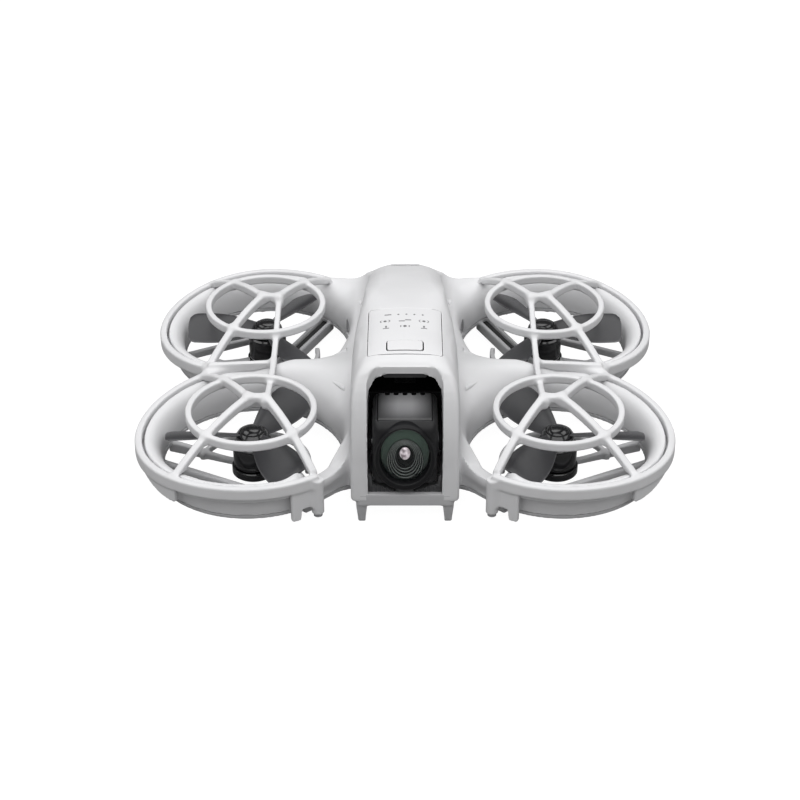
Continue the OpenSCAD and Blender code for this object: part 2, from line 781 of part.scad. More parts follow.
module gimbal_bearing() {
    color(STEEL_C) difference() {
        pin_x([-9.1, -7.7], -tilt_y, tilt_z, 2.2);
        pin_x([-10, -5], -tilt_y, tilt_z, 1 + run);
    }
}

/* ---------- battery ---------- */

module battery_shape(t, y0, y1) {
    block([-batt_hw + t, batt_hw - t], [y0 + t, y1 - t], [belly_z + 1.35 + t, batt_top - t]);
}
module latch_pocket(extra) {
    block([batt_hw - 3, batt_hw + 1], [48.5 - extra, 57 + extra], [10.3 - extra, 15.7 + extra]);
}
module battery_case() {
    color(BATT_C) difference() {
        battery_shape(0, -4.6, cap_y);
        battery_shape(1, -4.6, cap_y - 3);
        both_sides() latch_pocket(slide_gap);
        block([-5.5, 5.5], [-5, -3.4], [9.8, 13.2]);
    }
}
module battery_cells() {
    color([0.30, 0.42, 0.60]) for (z = [8.2, 12.7])
        block([-9.2, 9.2], [-1, 46], [z, z + 4.3]);
}
module battery_terminals() {
    color(GOLD_C) block([-5.4, 5.4], [-4.5, -3.5], [9.9, 13.1]);
}
module battery_end_cap() {
    color(BATT_C) intersection() {
        battery_shape(0, cap_y, tail_y);
        fuselage(0);
    }
}
module latch() {
    color(DARK_C) {
        block([batt_hw - 1.5, 14.4], [48.5, 57], [10.3, 15.7]);
        for (y = [50.5:2:55]) block([14.3, 14.8], [y - 0.4, y + 0.4], [10.8, 15.2]);
    }
}
module battery_latch_right() {
    latch();
}
module battery_latch_left() {
    mirror([1, 0, 0]) latch();
}

/* ---------- buttons ---------- */

module mode_button() {
    color(SHELL_C) {
        intersection() {
            skin(1.3);
            block([-4.85, 4.85], [button_y - 1.95, button_y + 2.65], [40, 60]);
        }
        post([0, button_y], 1, 45.5, 47.2);
    }
}
module power_button() {
    color(SHELL_C) {
        intersection() {
            skin(1.5);
            post([0, power_y], power_r, 20, 60);
        }
        post([0, power_y], 1, board_z + board_t + 1.3, 29);
    }
}

lower_frame();
upper_shell();
guard_left();
guard_right();
guard_screws();
frame_screws();
main_board();
board_chips();
heat_sink();
antennas();
satellite_receiver();
indicator_board();
indicator_panel();
vision_camera();
belly_window();
charging_socket();
battery_contacts();
bay_liner();
ribbon_cable();
motor_stators();
motor_windings();
motor_bearings();
motor_screws();
motor_wires();
gimbal_bracket();
gimbal_dampers();
gimbal_stator();
pivot_pin();
camera_housing();
camera_cap();
lens_bezel();
lens_glass();
lens_barrel();
image_sensor();
gimbal_magnet();
gimbal_bearing();
battery_case();
battery_cells();
battery_terminals();
battery_end_cap();
battery_latch_left();
battery_latch_right();
mode_button();
power_button();
motor_bell([-1, -1]);  // motor_bell_front_left
motor_bell([1, -1]);  // motor_bell_front_right
motor_bell([-1, 1]);  // motor_bell_rear_left
motor_bell([1, 1]);  // motor_bell_rear_right
motor_shaft([-1, -1]);  // motor_shaft_front_left
motor_shaft([1, -1]);  // motor_shaft_front_right
motor_shaft([-1, 1]);  // motor_shaft_rear_left
motor_shaft([1, 1]);  // motor_shaft_rear_right
propeller([-1, -1]);  // propeller_front_left
propeller([1, -1]);  // propeller_front_right
propeller([-1, 1]);  // propeller_rear_left
propeller([1, 1]);  // propeller_rear_right
hub_cap([-1, -1]);  // hub_cap_front_left
hub_cap([1, -1]);  // hub_cap_front_right
hub_cap([-1, 1]);  // hub_cap_rear_left
hub_cap([1, 1]);  // hub_cap_rear_right
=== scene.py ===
"""Looks of a palm camera drone with four ducted, caged rotors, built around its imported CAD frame."""
import json
import math

import bmesh
import bpy
import numpy as np
from mathutils import Matrix, Vector


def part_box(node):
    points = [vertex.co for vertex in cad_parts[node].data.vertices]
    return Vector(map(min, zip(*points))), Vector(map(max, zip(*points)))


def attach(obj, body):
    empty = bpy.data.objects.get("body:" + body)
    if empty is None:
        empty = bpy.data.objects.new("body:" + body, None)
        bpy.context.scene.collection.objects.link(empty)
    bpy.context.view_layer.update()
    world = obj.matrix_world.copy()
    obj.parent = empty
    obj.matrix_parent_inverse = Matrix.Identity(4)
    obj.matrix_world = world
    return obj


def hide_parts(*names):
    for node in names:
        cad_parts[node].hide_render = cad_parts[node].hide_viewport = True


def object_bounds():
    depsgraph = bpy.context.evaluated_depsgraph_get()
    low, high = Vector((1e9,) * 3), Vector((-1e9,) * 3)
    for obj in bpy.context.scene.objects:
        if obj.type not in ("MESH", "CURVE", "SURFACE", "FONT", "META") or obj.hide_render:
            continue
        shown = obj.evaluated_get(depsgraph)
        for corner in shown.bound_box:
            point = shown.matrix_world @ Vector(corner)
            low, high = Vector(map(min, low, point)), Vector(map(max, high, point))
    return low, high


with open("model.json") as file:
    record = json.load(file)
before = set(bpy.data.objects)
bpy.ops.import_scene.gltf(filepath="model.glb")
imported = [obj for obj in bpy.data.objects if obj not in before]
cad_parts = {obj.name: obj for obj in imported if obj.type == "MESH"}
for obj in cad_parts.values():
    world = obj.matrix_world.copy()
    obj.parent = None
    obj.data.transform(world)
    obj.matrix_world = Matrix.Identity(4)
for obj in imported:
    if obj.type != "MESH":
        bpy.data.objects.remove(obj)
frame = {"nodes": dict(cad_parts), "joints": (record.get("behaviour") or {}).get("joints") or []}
cad_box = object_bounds()
MM = 0.001

# ---------------------------------------------------------------- places, in millimetres
joint = {j["name"]: j for j in frame["joints"]}
ROTOR_X, ROTOR_Y = (abs(c) / MM for c in joint["spin_front_right"]["pos_m"][:2])
TILT_Y, TILT_Z = (c / MM for c in joint["camera_tilt"]["pos_m"][1:])
BODY_TOP = cad_box[1].z / MM
GUARD_R = cad_box[1].x / MM - ROTOR_X      # outer radius of a guard rim
PROP_R = 25.3                              # tip radius of a propeller
THROAT_R = 26.3                            # inside radius of a duct
DUCT_R, FLANGE_R = 29.5, 32.2              # outside radius of a duct and of its flange
SEAM_Z = 7.3                               # where the shell meets the lower frame
BELLY_Z = 5.75                             # underside of the fuselage
BODY_HW = 15.8                             # half width of the fuselage low down
BEZEL_Z, BEZEL_R, BEZEL_H = TILT_Z - 0.4, 8.85, 10.9   # oval lens bezel
GLASS_UP = 0.5                             # offset of the lens glass in its bezel
GLASS_R, GLASS_H = 6.8, 8.9                # half width and half height of that glass
SEAT_Y = -52.2                             # depth at which the lens parts are seated
WELL_UP = -1.6                             # offset of the well behind the rings
RING_TALL, RING_DROP = 1.42, 2.0           # height over width of the lens rings, and their offset
BAY_HW = 10.4                              # half width of the camera bay
WALL = 1.4                                 # thickness of the fuselage skin


# ---------------------------------------------------------------- distance fields
def smin(a, b, k):
    """Smallest of two fields, blended over the width k."""
    h = np.maximum(k - np.abs(a - b), 0) / k
    return np.minimum(a, b) - h * h * k / 4


def meet(first, *others):
    """What several fields share."""
    for other in others:
        first = np.maximum(first, other)
    return first


def between(v, low, high):
    return np.maximum(low - v, v - high)


def round_max(a, b, r):
    """What two fields share, with its edge rounded to radius r."""
    return np.minimum(np.maximum(a, b), -r) + np.hypot(np.maximum(a + r, 0), np.maximum(b + r, 0))


def ease(a, b, x):
    t = np.clip((x - a) / (b - a), 0, 1)
    return t * t * (3 - 2 * t)


def box_field(p, centre, half, r=0.0):
    q = [np.abs(c - m) - h + r for c, m, h in zip(p, centre, half)]
    out = np.sqrt(sum(np.maximum(c, 0) ** 2 for c in q))
    return out + np.minimum(meet(*q), 0) - r


def bezier(p, n=24):
    t = np.linspace(0, 1, n)[:, None]
    p = np.array(p, float)
    return ((1 - t) ** 3 * p[0] + 3 * t * (1 - t) ** 2 * p[1]
            + 3 * t * t * (1 - t) * p[2] + t ** 3 * p[3])


class Outline:
    """Signed distance to a closed outline in a plane, looked up in a fine table."""
    step = 0.25

    def __init__(self, points, margin=14.0):
        pts = np.array(points, float)
        self.lo = pts.min(0) - margin
        n = ((pts.max(0) + margin - self.lo) / self.step).astype(int) + 2
        self.n = n
        u, v = np.meshgrid(*(self.lo[i] + self.step * np.arange(n[i]) for i in (0, 1)), indexing="ij")
        best = np.full(u.shape, 1e9)
        inside = np.zeros(u.shape, bool)
        for a, b in zip(pts, np.roll(pts, -1, axis=0)):
            d = b - a
            t = np.clip(((u - a[0]) * d[0] + (v - a[1]) * d[1]) / max(d @ d, 1e-12), 0, 1)
            best = np.minimum(best, (u - a[0] - t * d[0]) ** 2 + (v - a[1] - t * d[1]) ** 2)
            if a[1] != b[1]:
                cross = (a[1] > v) != (b[1] > v)
                inside ^= cross & (u < d[0] * (v - a[1]) / d[1] + a[0])
        self.table = np.where(inside, -1, 1) * np.sqrt(best)

    def __call__(self, u, v):
        x = np.clip((u - self.lo[0]) / self.step, 0, self.n[0] - 1.001)
        y = np.clip((v - self.lo[1]) / self.step, 0, self.n[1] - 1.001)
        i, j = x.astype(int), y.astype(int)
        fx, fy = x - i, y - j
        t = self.table
        return ((t[i, j] * (1 - fx) + t[i + 1, j] * fx) * (1 - fy)
                + (t[i, j + 1] * (1 - fx) + t[i + 1, j + 1] * fx) * fy)


def closed_off(value):
    """Fills the grid corners where two solid parts would only touch along an edge."""
    corners = ((0, 0), (1, 0), (0, 1), (1, 1))
    for u, v in ((0, 1), (0, 2), (1, 2)) * 3:
        cut = [tuple(slice(i, i - 1 or None) if k == u else slice(j, j - 1 or None) if k == v
                     else slice(None) for k in range(3)) for i, j in corners]
        a, b, c, d = (value[w] < 0 for w in cut)
        odd = (a == d) & (b == c) & (a != b)
        for w in cut:
            part = value[w]
            part[odd] = np.minimum(part[odd], -1e-3)
    return value


def surface(field, lo, hi, step, mirror=False):
    """Quads on the zero surface of a field, found cell by cell and then pulled onto it."""
    step *= 1.0
    lo, hi = np.array(lo, float), np.array(hi, float)
    if mirror:
        lo[0] = -step / 2
    n = np.ceil((hi - lo) / step).astype(int) + 1
    grid = [lo[i] + step * np.arange(n[i]) for i in range(3)]
    value = closed_off(field(*np.meshgrid(*grid, indexing="ij")))
    solid = value < 0
    corner = [(i, j, k) for i in (0, 1) for j in (0, 1) for k in (0, 1)]
    part = lambda a, c: a[c[0]:n[0] - 1 + c[0], c[1]:n[1] - 1 + c[1], c[2]:n[2] - 1 + c[2]]
    count = sum(part(solid, c).astype(np.int8) for c in corner)
    active = (count > 0) & (count < 8)
    cells = np.argwhere(active)
    index = np.full(active.shape, -1, np.int64)
    index[active] = np.arange(len(cells))
    held = {c: part(value, c)[active] for c in corner}
    total, hits = np.zeros((len(cells), 3)), np.zeros(len(cells))
    for a in corner:
        for axis in range(3):
            if a[axis]:
                continue
            b = tuple(a[i] + (i == axis) for i in range(3))
            va, vb = held[a], held[b]
            cut = (va < 0) != (vb < 0)
            t = np.where(cut, va / np.where(cut, va - vb, 1), 0)
            point = np.array(a, float)[None] + t[:, None] * np.eye(3)[axis][None]
            total[cut] += point[cut]
            hits[cut] += 1
    verts = lo + step * (cells + total / hits[:, None])
    verts = settle(field, verts, step)
    faces = []
    for axis in range(3):
        u, v = (axis + 1) % 3, (axis + 2) % 3
        a = [slice(None)] * 3
        b = [slice(None)] * 3
        a[axis], b[axis] = slice(0, -1), slice(1, None)
        for w in (u, v):
            a[w] = b[w] = slice(1, -1)
        first, second = solid[tuple(a)], solid[tuple(b)]
        where = np.argwhere(first != second)
        flip = ~first[first != second]
        where[:, u] += 1
        where[:, v] += 1
        ring = []
        for du, dv in ((-1, -1), (0, -1), (0, 0), (-1, 0)):
            w = where.copy()
            w[:, u] += du
            w[:, v] += dv
            ring.append(index[w[:, 0], w[:, 1], w[:, 2]])
        quad = np.stack(ring, 1)
        quad[flip] = quad[flip][:, ::-1]
        faces.append(quad)
    faces = np.concatenate(faces)
    if mirror:
        verts, faces = mirrored(verts, faces, cells[:, 0] == 0)
    return verts, faces


def settle(field, verts, step, rounds=4):
    """Moves points along the field's slope until they lie on its zero surface."""
    e = step * 0.1
    for _ in range(rounds):
        x, y, z = verts.T
        f = field(x, y, z)
        g = np.stack([(field(x + e, y, z) - field(x - e, y, z)),
                      (field(x, y + e, z) - field(x, y - e, z)),
                      (field(x, y, z + e) - field(x, y, z - e))], 1) / (2 * e)
        size = np.maximum((g * g).sum(1), 0.04)
        verts = verts - np.clip(f / size, -step / 2, step / 2)[:, None] * g
    return verts


def mirrored(verts, faces, on_plane):
    """Half of a symmetric mesh joined to its mirror image in the plane X = 0."""
    verts[on_plane, 0] = 0
    other = np.arange(len(verts))
    rest = ~on_plane
    other[rest] = len(verts) + np.arange(rest.sum())
    both = np.concatenate([verts, verts[rest] * (-1, 1, 1)])
    return both, np.concatenate([faces, other[faces][:, ::-1]])


# ---------------------------------------------------------------- meshes
def new_object(name, verts, faces, sharp=35):
    mesh = bpy.data.meshes.new(name)
    mesh.from_pydata((np.asarray(verts, float) * MM).tolist(), [], np.asarray(faces).tolist()
                     if isinstance(faces, np.ndarray) else faces)
    mesh.update()
    obj = bpy.data.objects.new(name, mesh)
    bpy.context.scene.collection.objects.link(obj)
    smooth(obj, sharp)
    return obj


def solid(name, field, lo, hi, step, sharp=35, mirror=False):
    """Object bounded by the zero surface of a field."""
    return new_object(name, *surface(field, lo, hi, step, mirror), sharp)


def smooth(obj, sharp=35):
    obj.data.shade_smooth()
    obj.data.set_sharp_from_angle(angle=math.radians(sharp))


def bake(obj):
    """Applies an object's modifiers."""
    graph = bpy.context.evaluated_depsgraph_get()
    graph.update()
    mesh = bpy.data.meshes.new_from_object(obj.evaluated_get(graph))
    obj.modifiers.clear()
    obj.data = mesh
    return obj


def carve(obj, *tools, keep=False, sharp=35):
    """Cuts other solids out of an object and removes them."""
    check = bmesh.new()
    check.from_mesh(obj.data)
    closed = all(e.is_manifold for e in check.edges)
    check.free()
    for tool in tools:
        m = obj.modifiers.new("cut", "BOOLEAN")
        m.operation = "INTERSECT" if keep else "DIFFERENCE"
        m.solver = "MANIFOLD" if closed else "EXACT"
        m.object = tool
        bake(obj)
        bpy.data.objects.remove(tool)
    smooth(obj, sharp)
    return obj


def join(name, objs, sharp):
    """Several meshes as one smooth object."""
    out = bmesh.new()
    for o in objs:
        out.from_mesh(o.data)
    mesh = bpy.data.meshes.new(name)
    out.to_mesh(mesh)
    out.free()
    for o in objs:
        bpy.data.objects.remove(o)
    obj = bpy.data.objects.new(name, mesh)
    bpy.context.scene.collection.objects.link(obj)
    smooth(obj, sharp)
    return obj


def bevelled(obj, width, segments=3):
    m = obj.modifiers.new("round", "BEVEL")
    m.width = width * MM
    m.segments = segments
    m.limit_method = "ANGLE"
    m.angle_limit = math.radians(40)
    bake(obj)
    smooth(obj, 50)
    return obj


def prism(name, outline, low, high, plane="XY", bevel=0.0, segments=3):
    """An outline raised between two heights along the third axis of its plane."""
    n = len(outline)
    pts = [(u, v, low) for u, v in outline] + [(u, v, high) for u, v in outline]
    faces = [tuple(range(n))[::-1], tuple(range(n, 2 * n))]
    faces += [(i, (i + 1) % n, n + (i + 1) % n, n + i) for i in range(n)]
    order = {"XY": (0, 1, 2), "XZ": (0, 2, 1)}[plane]
    pts = [tuple(p[i] for i in order) for p in pts]
    obj = new_object(name, pts, faces)
    turn_out(obj)
    return bevelled(obj, bevel, segments) if bevel else obj


def turn_out(obj):
    b = bmesh.new()
    b.from_mesh(obj.data)
    bmesh.ops.recalc_face_normals(b, faces=b.faces)
    b.to_mesh(obj.data)
    b.free()


def rounded(hu, hv, r, cu=0.0, cv=0.0, n=6):
    """Outline of a rectangle with round corners, given by its half sizes."""
    out = []
    for su, sv, a0 in ((1, 1, 0), (-1, 1, 90), (-1, -1, 180), (1, -1, 270)):
        for i in range(n + 1):
            a = math.radians(a0 + 90 * i / n)
            out.append((cu + su * (hu - r) + r * math.cos(a), cv + sv * (hv - r) + r * math.sin(a)))
    return out


def box(name, lo, hi, bevel=0.0):
    half = [(b - a) / 2 for a, b in zip(lo, hi)]
    mid = [(b + a) / 2 for a, b in zip(lo, hi)]
    outline = [(mid[0] + su * half[0], mid[1] + sv * half[1])
               for su, sv in ((1, 1), (-1, 1), (-1, -1), (1, -1))]
    return prism(name, outline, lo[2], hi[2], bevel=bevel)


def lathe(name, profile, n=64, axis="Z", at=(0, 0, 0), sharp=35):
    """Profile of (radius, height) points turned about an axis through a place."""
    verts, faces, rings = [], [], []
    for r, h in profile:
        if r < 1e-6:
            rings.append([len(verts)])
            verts.append((0, 0, h))
        else:
            rings.append(list(range(len(verts), len(verts) + n)))
            verts += [(r * math.cos(2 * math.pi * i / n), r * math.sin(2 * math.pi * i / n), h)
                      for i in range(n)]
    for a, b in zip(rings, rings[1:] + rings[:1]):
        if len(a) == 1 and len(b) == 1:
            continue
        for i in range(n):
            j = (i + 1) % n
            if len(a) == 1:
                faces.append((a[0], b[j], b[i]))
            elif len(b) == 1:
                faces.append((a[i], a[j], b[0]))
            else:
                faces.append((a[i], a[j], b[j], b[i]))
    obj = new_object(name, verts, faces, sharp)
    turn_out(obj)
    turn = {"Z": Matrix.Identity(4), "Y": Matrix.Rotation(math.radians(90), 4, "X"),
            "X": Matrix.Rotation(math.radians(90), 4, "Y")}[axis]
    obj.data.transform(Matrix.Translation(Vector(at) * MM) @ turn)
    smooth(obj, sharp)
    return obj


def rod(r, low, high, n, **where):
    """Plain cylinder for cuts and pins."""
    return lathe("rod", [(0, low), (r, low), (r, high), (0, high)], n, **where)


def coat(obj, look):
    obj.data.materials.clear()
    obj.data.materials.append(MAT[look])


def finish_piece(obj, body, look, slot, *nodes):
    """Gives a piece its material and its body, and hides the CAD nodes it stands for; the slot is not
    used.
    """
    coat(obj, look)
    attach(obj, body)
    if nodes:
        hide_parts(*nodes)
    return obj


# ---------------------------------------------------------------- materials
class Nodes:
    """Short hand for building a material's nodes."""

    def __init__(self, name):
        self.material = bpy.data.materials.new(name)
        self.material.use_nodes = True
        self.tree = self.material.node_tree
        self.shader = self.tree.nodes["Principled BSDF"]
        self.place = self.add("ShaderNodeTexCoord").outputs["Object"]

    def add(self, kind, **inputs):
        node = self.tree.nodes.new(kind)
        for key, value in inputs.items():
            target = node.inputs.get(key.replace("_", " "))
            if target is None:
                setattr(node, key, value)
            else:
                self.feed(target, value)
        return node

    def feed(self, target, value):
        """Links an input to another node's output, or sets it to a number or a colour."""
        if hasattr(value, "is_output"):
            self.tree.links.new(value, target)
        else:
            target.default_value = (*value, 1) if isinstance(value, tuple) else value

    def noise(self, scale, detail=3.0, rough=0.5):
        return self.add("ShaderNodeTexNoise", Vector=self.place, Scale=scale, Detail=detail,
                        Roughness=rough).outputs["Fac"]

    def spread(self, value, low, high, start=0.3, end=0.7):
        """A value taken from one range to another."""
        node = self.add("ShaderNodeMapRange", Value=value)
        for i, v in zip((1, 2, 3, 4), (start, end, low, high)):
            node.inputs[i].default_value = v
        return node.outputs[0]

    def mix(self, factor, a, b):
        node = self.add("ShaderNodeMix", data_type="RGBA")
        for key, value in ((0, factor), (6, a), (7, b)):
            self.feed(node.inputs[key], value)
        return node.outputs[2]

    def math(self, operation, *values):
        node = self.add("ShaderNodeMath", operation=operation)
        for target, value in zip(node.inputs, values):
            self.feed(target, value)
        return node.outputs[0]

    def edges(self):
        """1 along convex edges and 0 on flats; it places the painted edge highlight."""
        bevel = self.add("ShaderNodeBevel", Radius=0.6 * MM)
        bevel.samples = 4
        flat = self.add("ShaderNodeNewGeometry").outputs["Normal"]
        dot = self.add("ShaderNodeVectorMath", operation="DOT_PRODUCT")
        self.feed(dot.inputs[0], bevel.outputs[0])
        self.feed(dot.inputs[1], flat)
        return self.spread(dot.outputs["Value"], 1.0, 0.0, 0.80, 0.99)

    def set(self, **values):
        for key, value in values.items():
            self.feed(self.shader.inputs[key.replace("_", " ")], value)

    def bump(self, height, strength, distance):
        node = self.add("ShaderNodeBump", Height=height, Strength=strength, Distance=distance)
        self.set(Normal=node.outputs[0])


def tone(colour):
    """A colour, or a near grey given as its level and its blue."""
    return colour if len(colour) == 3 else (colour[0], *colour)


def moulded(name, colour, edge_glint, rough=0.5, grain=0.25, spec=0.35, gloss=0.0):
    """Moulded plastic: spark-eroded grain, faint cloudiness, and a painted highlight that makes it paler
    along its edges.
    """
    m = Nodes(name)
    colour, edge_glint = tone(colour), tone(edge_glint)
    cloud = m.noise(60, 4)
    speck = m.noise(9000, 2, 0.6)
    dark = tuple(c * 0.94 for c in colour)
    base = m.mix(m.spread(cloud, 0, 1), dark, colour)
    # the paler second colour along convex edges is a painted highlight
    m.set(Base_Color=m.mix(m.edges(), base, edge_glint),
          Roughness=m.spread(m.noise(3000, 3), rough - 0.06, rough + 0.06),
          Coat_Weight=gloss, Coat_Roughness=0.2, Specular_IOR_Level=spec)
    m.bump(speck, grain, 0.00003)
    return m.material


def metal(name, colour, rough=0.3, brushed=True):
    """Worked metal: fine streaks and a little tarnish."""
    m = Nodes(name)
    streak = m.noise(5000 if brushed else 1500, 4)
    dark = tuple(c * 0.75 for c in colour)
    m.set(Base_Color=m.mix(m.spread(m.noise(300, 4), 0, 1), dark, colour), Metallic=1.0,
          Roughness=m.spread(streak, rough - 0.08, rough + 0.12))
    m.bump(streak, 0.15, 0.00002)
    return m.material


def board(name):
    """Circuit board: green lacquer over a faint net of copper tracks."""
    m = Nodes(name)
    track = m.add("ShaderNodeTexBrick", Vector=m.place, Scale=500.0).outputs["Fac"]
    green = m.mix(m.spread(m.noise(200, 3), 0, 1), (0.01, 0.10, 0.045), (0.02, 0.16, 0.07))
    m.set(Base_Color=m.mix(track, green, (0.05, 0.26, 0.10)), Roughness=0.35)
    m.bump(track, 0.3, 0.00005)
    return m.material


def wound(name, colour):
    """Lacquered copper wire, wound in fine turns, with painted shade in the grooves between them."""
    m = Nodes(name)
    wave = m.add("ShaderNodeTexWave", Vector=m.place, Scale=900.0, Distortion=0.5)
    wave.bands_direction = "Z"
    # darker bands between the turns: painted shade in the grooves
    dark = tuple(c * 0.35 for c in colour)
    m.set(Base_Color=m.mix(wave.outputs["Fac"], dark, colour), Metallic=0.8, Roughness=0.35)
    m.bump(wave.outputs["Fac"], 0.6, 0.0001)
    return m.material


def glass(name, colour, rough=0.04, alpha=1.0):
    """Coated lens glass: dark depth with a faint tint, painted paler at grazing angles as a sheen that
    turns with the view.
    """
    m = Nodes(name)
    grazing_sheen = m.add("ShaderNodeLayerWeight", Blend=0.35).outputs["Facing"]
    # base colour paler towards grazing angles: a painted sheen
    m.set(Base_Color=m.mix(grazing_sheen, colour, tuple(min(1, c * 2.5) for c in colour)),
          Roughness=m.spread(m.noise(400, 2), rough * 0.6, rough * 1.6), Coat_Weight=1.0,
          Coat_Roughness=0.02, Alpha=alpha)
    return m.material


def reflection_painted_plate():
    """Plate behind the lens: green at the top fading to black lower down, a painted reflection of the
    overhead lamp in its coating.
    """
    m = Nodes("lens_plate_painted_reflection")
    split = m.add("ShaderNodeSeparateXYZ", Vector=m.place).outputs["Z"]
    low, high = (BEZEL_Z - 5) * MM, (BEZEL_Z + 7) * MM
    reflection_fade = m.spread(split, 0.0, 1.0, low, high)
    # green at the top, fading to black lower down: painted reflection of the overhead lamp
    m.set(Base_Color=m.mix(reflection_fade, (0.008, 0.010, 0.010), (0.10, 0.17, 0.13)),
          Roughness=m.spread(m.noise(900, 3), 0.3, 0.4))
    m.bump(m.noise(9000, 2), 0.1, 0.00002)
    return m.material


def shaded_cover():
    """Satin top cover, painted paler in the middle as a sheen and fading to painted shade at its sides and
    front.
    """
    m = Nodes("camera_top_cover")
    parts = m.add("ShaderNodeSeparateXYZ", Vector=m.place).outputs
    across = m.spread(m.math("ABSOLUTE", parts["X"]), 1.0, 0.0, 2.0 * MM, 8.2 * MM)
    along = m.spread(parts["Y"], 0.12, 1.0, -51.0 * MM, -43.5 * MM)
    # paler middle: painted sheen; darker sides and front: painted shade
    m.set(Base_Color=m.mix(m.math("MULTIPLY", across, along), (0.018, 0.018, 0.019), (0.36, 0.36, 0.37)),
          Roughness=m.spread(m.noise(3000, 3), 0.38, 0.5))
    m.bump(m.noise(9000, 2), 0.25, 0.00003)
    return m.material


def glowing_core():
    """Innermost lens: a bright, faintly pink painted reflection of the lamp, made to glow by emission,
    broken by darker rings.
    """
    m = Nodes("inner_lens_painted_glint")
    cloud = m.spread(m.noise(700, 3), 0, 1, 0.35, 0.65)
    # the emission paints the lamp's reflection on the inner lens; the part is no lamp
    m.set(Base_Color=m.mix(cloud, (0.55, 0.45, 0.50), (0.95, 0.88, 0.92)), Roughness=0.12,
          Metallic=0.6, Emission_Color=(1.0, 0.9, 0.95),
          Emission_Strength=m.spread(cloud, 0.05, 0.55, 0, 1))
    return m.material


# the second colour of each moulded material is its painted edge highlight
MAT = {
    "shell": moulded("white_shell_plastic", (0.64, 0.65), (0.72, 0.73), 0.48, 0.20),
    "guard": moulded("white_guard_plastic", (0.64, 0.65), (0.72, 0.73), 0.46, 0.22),
    # the lower frame is the same pale plastic as the shell; its darker colour is painted shade
    "frame": moulded("frame_plastic_painted_shade", (0.46, 0.47), (0.54, 0.55), 0.55, 0.25),
    "prop": moulded("propeller_nylon", (0.045, 0.048), (0.11, 0.115), 0.36, 0.3),
    "camera": moulded("camera_shell", (0.014, 0.015), (0.05, 0.053), 0.42, 0.3, spec=0.2),
    "camera_top": shaded_cover(),
    "black": moulded("black_plastic", (0.008, 0.009), (0.05, 0.05), 0.35, 0.2, spec=0.15),
    "liner": moulded("bay_liner_plastic", (0.004, 0.004), (0.012, 0.012), 0.7, 0.3, spec=0.05),
    "mount": moulded("bay_mount_plastic", (0.14, 0.145), (0.24, 0.25), 0.5, 0.3),
    "tongue": moulded("bay_tongue_plastic", (0.06, 0.063), (0.12, 0.125), 0.5, 0.3),
    "bracket": moulded("bracket_plastic", (0.010, 0.011), (0.04, 0.042), 0.6, 0.3, spec=0.1),
    "gloss": moulded("gloss_black_plastic", (0.008, 0.009), (0.03, 0.03), 0.12, 0.03, gloss=0.6),
    "battery": moulded("battery_plastic", (0.28, 0.29), (0.40, 0.41), 0.5, 0.3),
    "mark": moulded("panel_mark_ink", (0.13, 0.135), (0.15, 0.155), 0.5, 0.1),
    "rubber": moulded("soft_rubber", (0.02, 0.02), (0.05, 0.05), 0.7, 0.5),
    "ceramic": moulded("receiver_ceramic", (0.62, 0.55, 0.42), (0.72, 0.66, 0.52), 0.5, 0.3),
    "wrap": moulded("cell_wrap_film", (0.06, 0.10, 0.22), (0.12, 0.18, 0.32), 0.3, 0.1, gloss=0.3),
    "film": moulded("ribbon_film", (0.015, 0.016), (0.05, 0.05), 0.3, 0.1, gloss=0.4),
    "steel": metal("turned_steel", (0.55, 0.56, 0.58), 0.3),
    "screw": metal("screw_steel", (0.50, 0.50, 0.52), 0.35),
    "alloy": metal("heat_sink_alloy", (0.62, 0.63, 0.65), 0.4),
    "gold": metal("gold_plating", (0.78, 0.56, 0.20), 0.25, False),
    "dark_metal": metal("anodised_dark_metal", (0.06, 0.06, 0.065), 0.35),
    "board": board("circuit_board"),
    "copper": wound("copper_winding", (0.62, 0.28, 0.12)),
    "front_glass": glass("lens_cover_glass", (0.004, 0.010, 0.008), 0.05, 0.10),
    "barrel": reflection_painted_plate(),
    # the lens rings are coloured lighter than black plastic to paint the bright ring reflections
    "ring": moulded("lens_ring_painted_glint", (0.16, 0.18, 0.17), (0.42, 0.46, 0.44), 0.25, 0.1),
    "core": glowing_core(),
    "window": glass("sensor_window", (0.01, 0.01, 0.012)),
}


# ---------------------------------------------------------------- fuselage
def side_points():
    """Side view of the fuselage, as (Y, Z), from the nose over the back to the belly."""
    top = bezier([(-42, 46.8), (-20, 52), (20, 46), (60.5, 22.5)])
    tail = bezier([(60.5, 22.5), (62, 21), (63, 19), (63, 15)], 8)
    nose = bezier([(-53.5, 22), (-52.5, 32), (-49, 44), (-42, 46.8)], 12)
    return [*top, *tail[1:], (63, BELLY_Z + 2), (61, BELLY_Z), (-52, BELLY_Z),
            (-54, BELLY_Z + 2), *nose[:-1]]


def front_points():
    """Right half of the front view, as (X, Z), closed across the middle."""
    curve = bezier([(BODY_HW - 0.5, 36), (BODY_HW - 0.8, 45), (11.5, 48), (0, 48.8)])
    return [(-20, BELLY_Z), (BODY_HW - 2, BELLY_Z), (BODY_HW, BELLY_Z + 2), (BODY_HW, 12),
            *curve, (-20, 48.8)]


SIDE = Outline(side_points())
FRONT = Outline(front_points())
PLAN_WEB_FRONT = Outline([(8, -38), (8, -44.5), (16, -45.6), (20, -48), (24, -50.7), (27, -52.8),
                          (31, -55), (31, -42)])
PLAN_WEB_REAR = Outline([(8, 40), (8, 57), (16, 59), (20, 60), (25, 60.4), (31, 58.4), (31, 46)])
PLAN_WEB_MID = Outline([(8, -22), (30, -12), (47, -4), (57, -1.3), (57, 1.3), (47, 4), (30, 12),
                        (8, 22)])


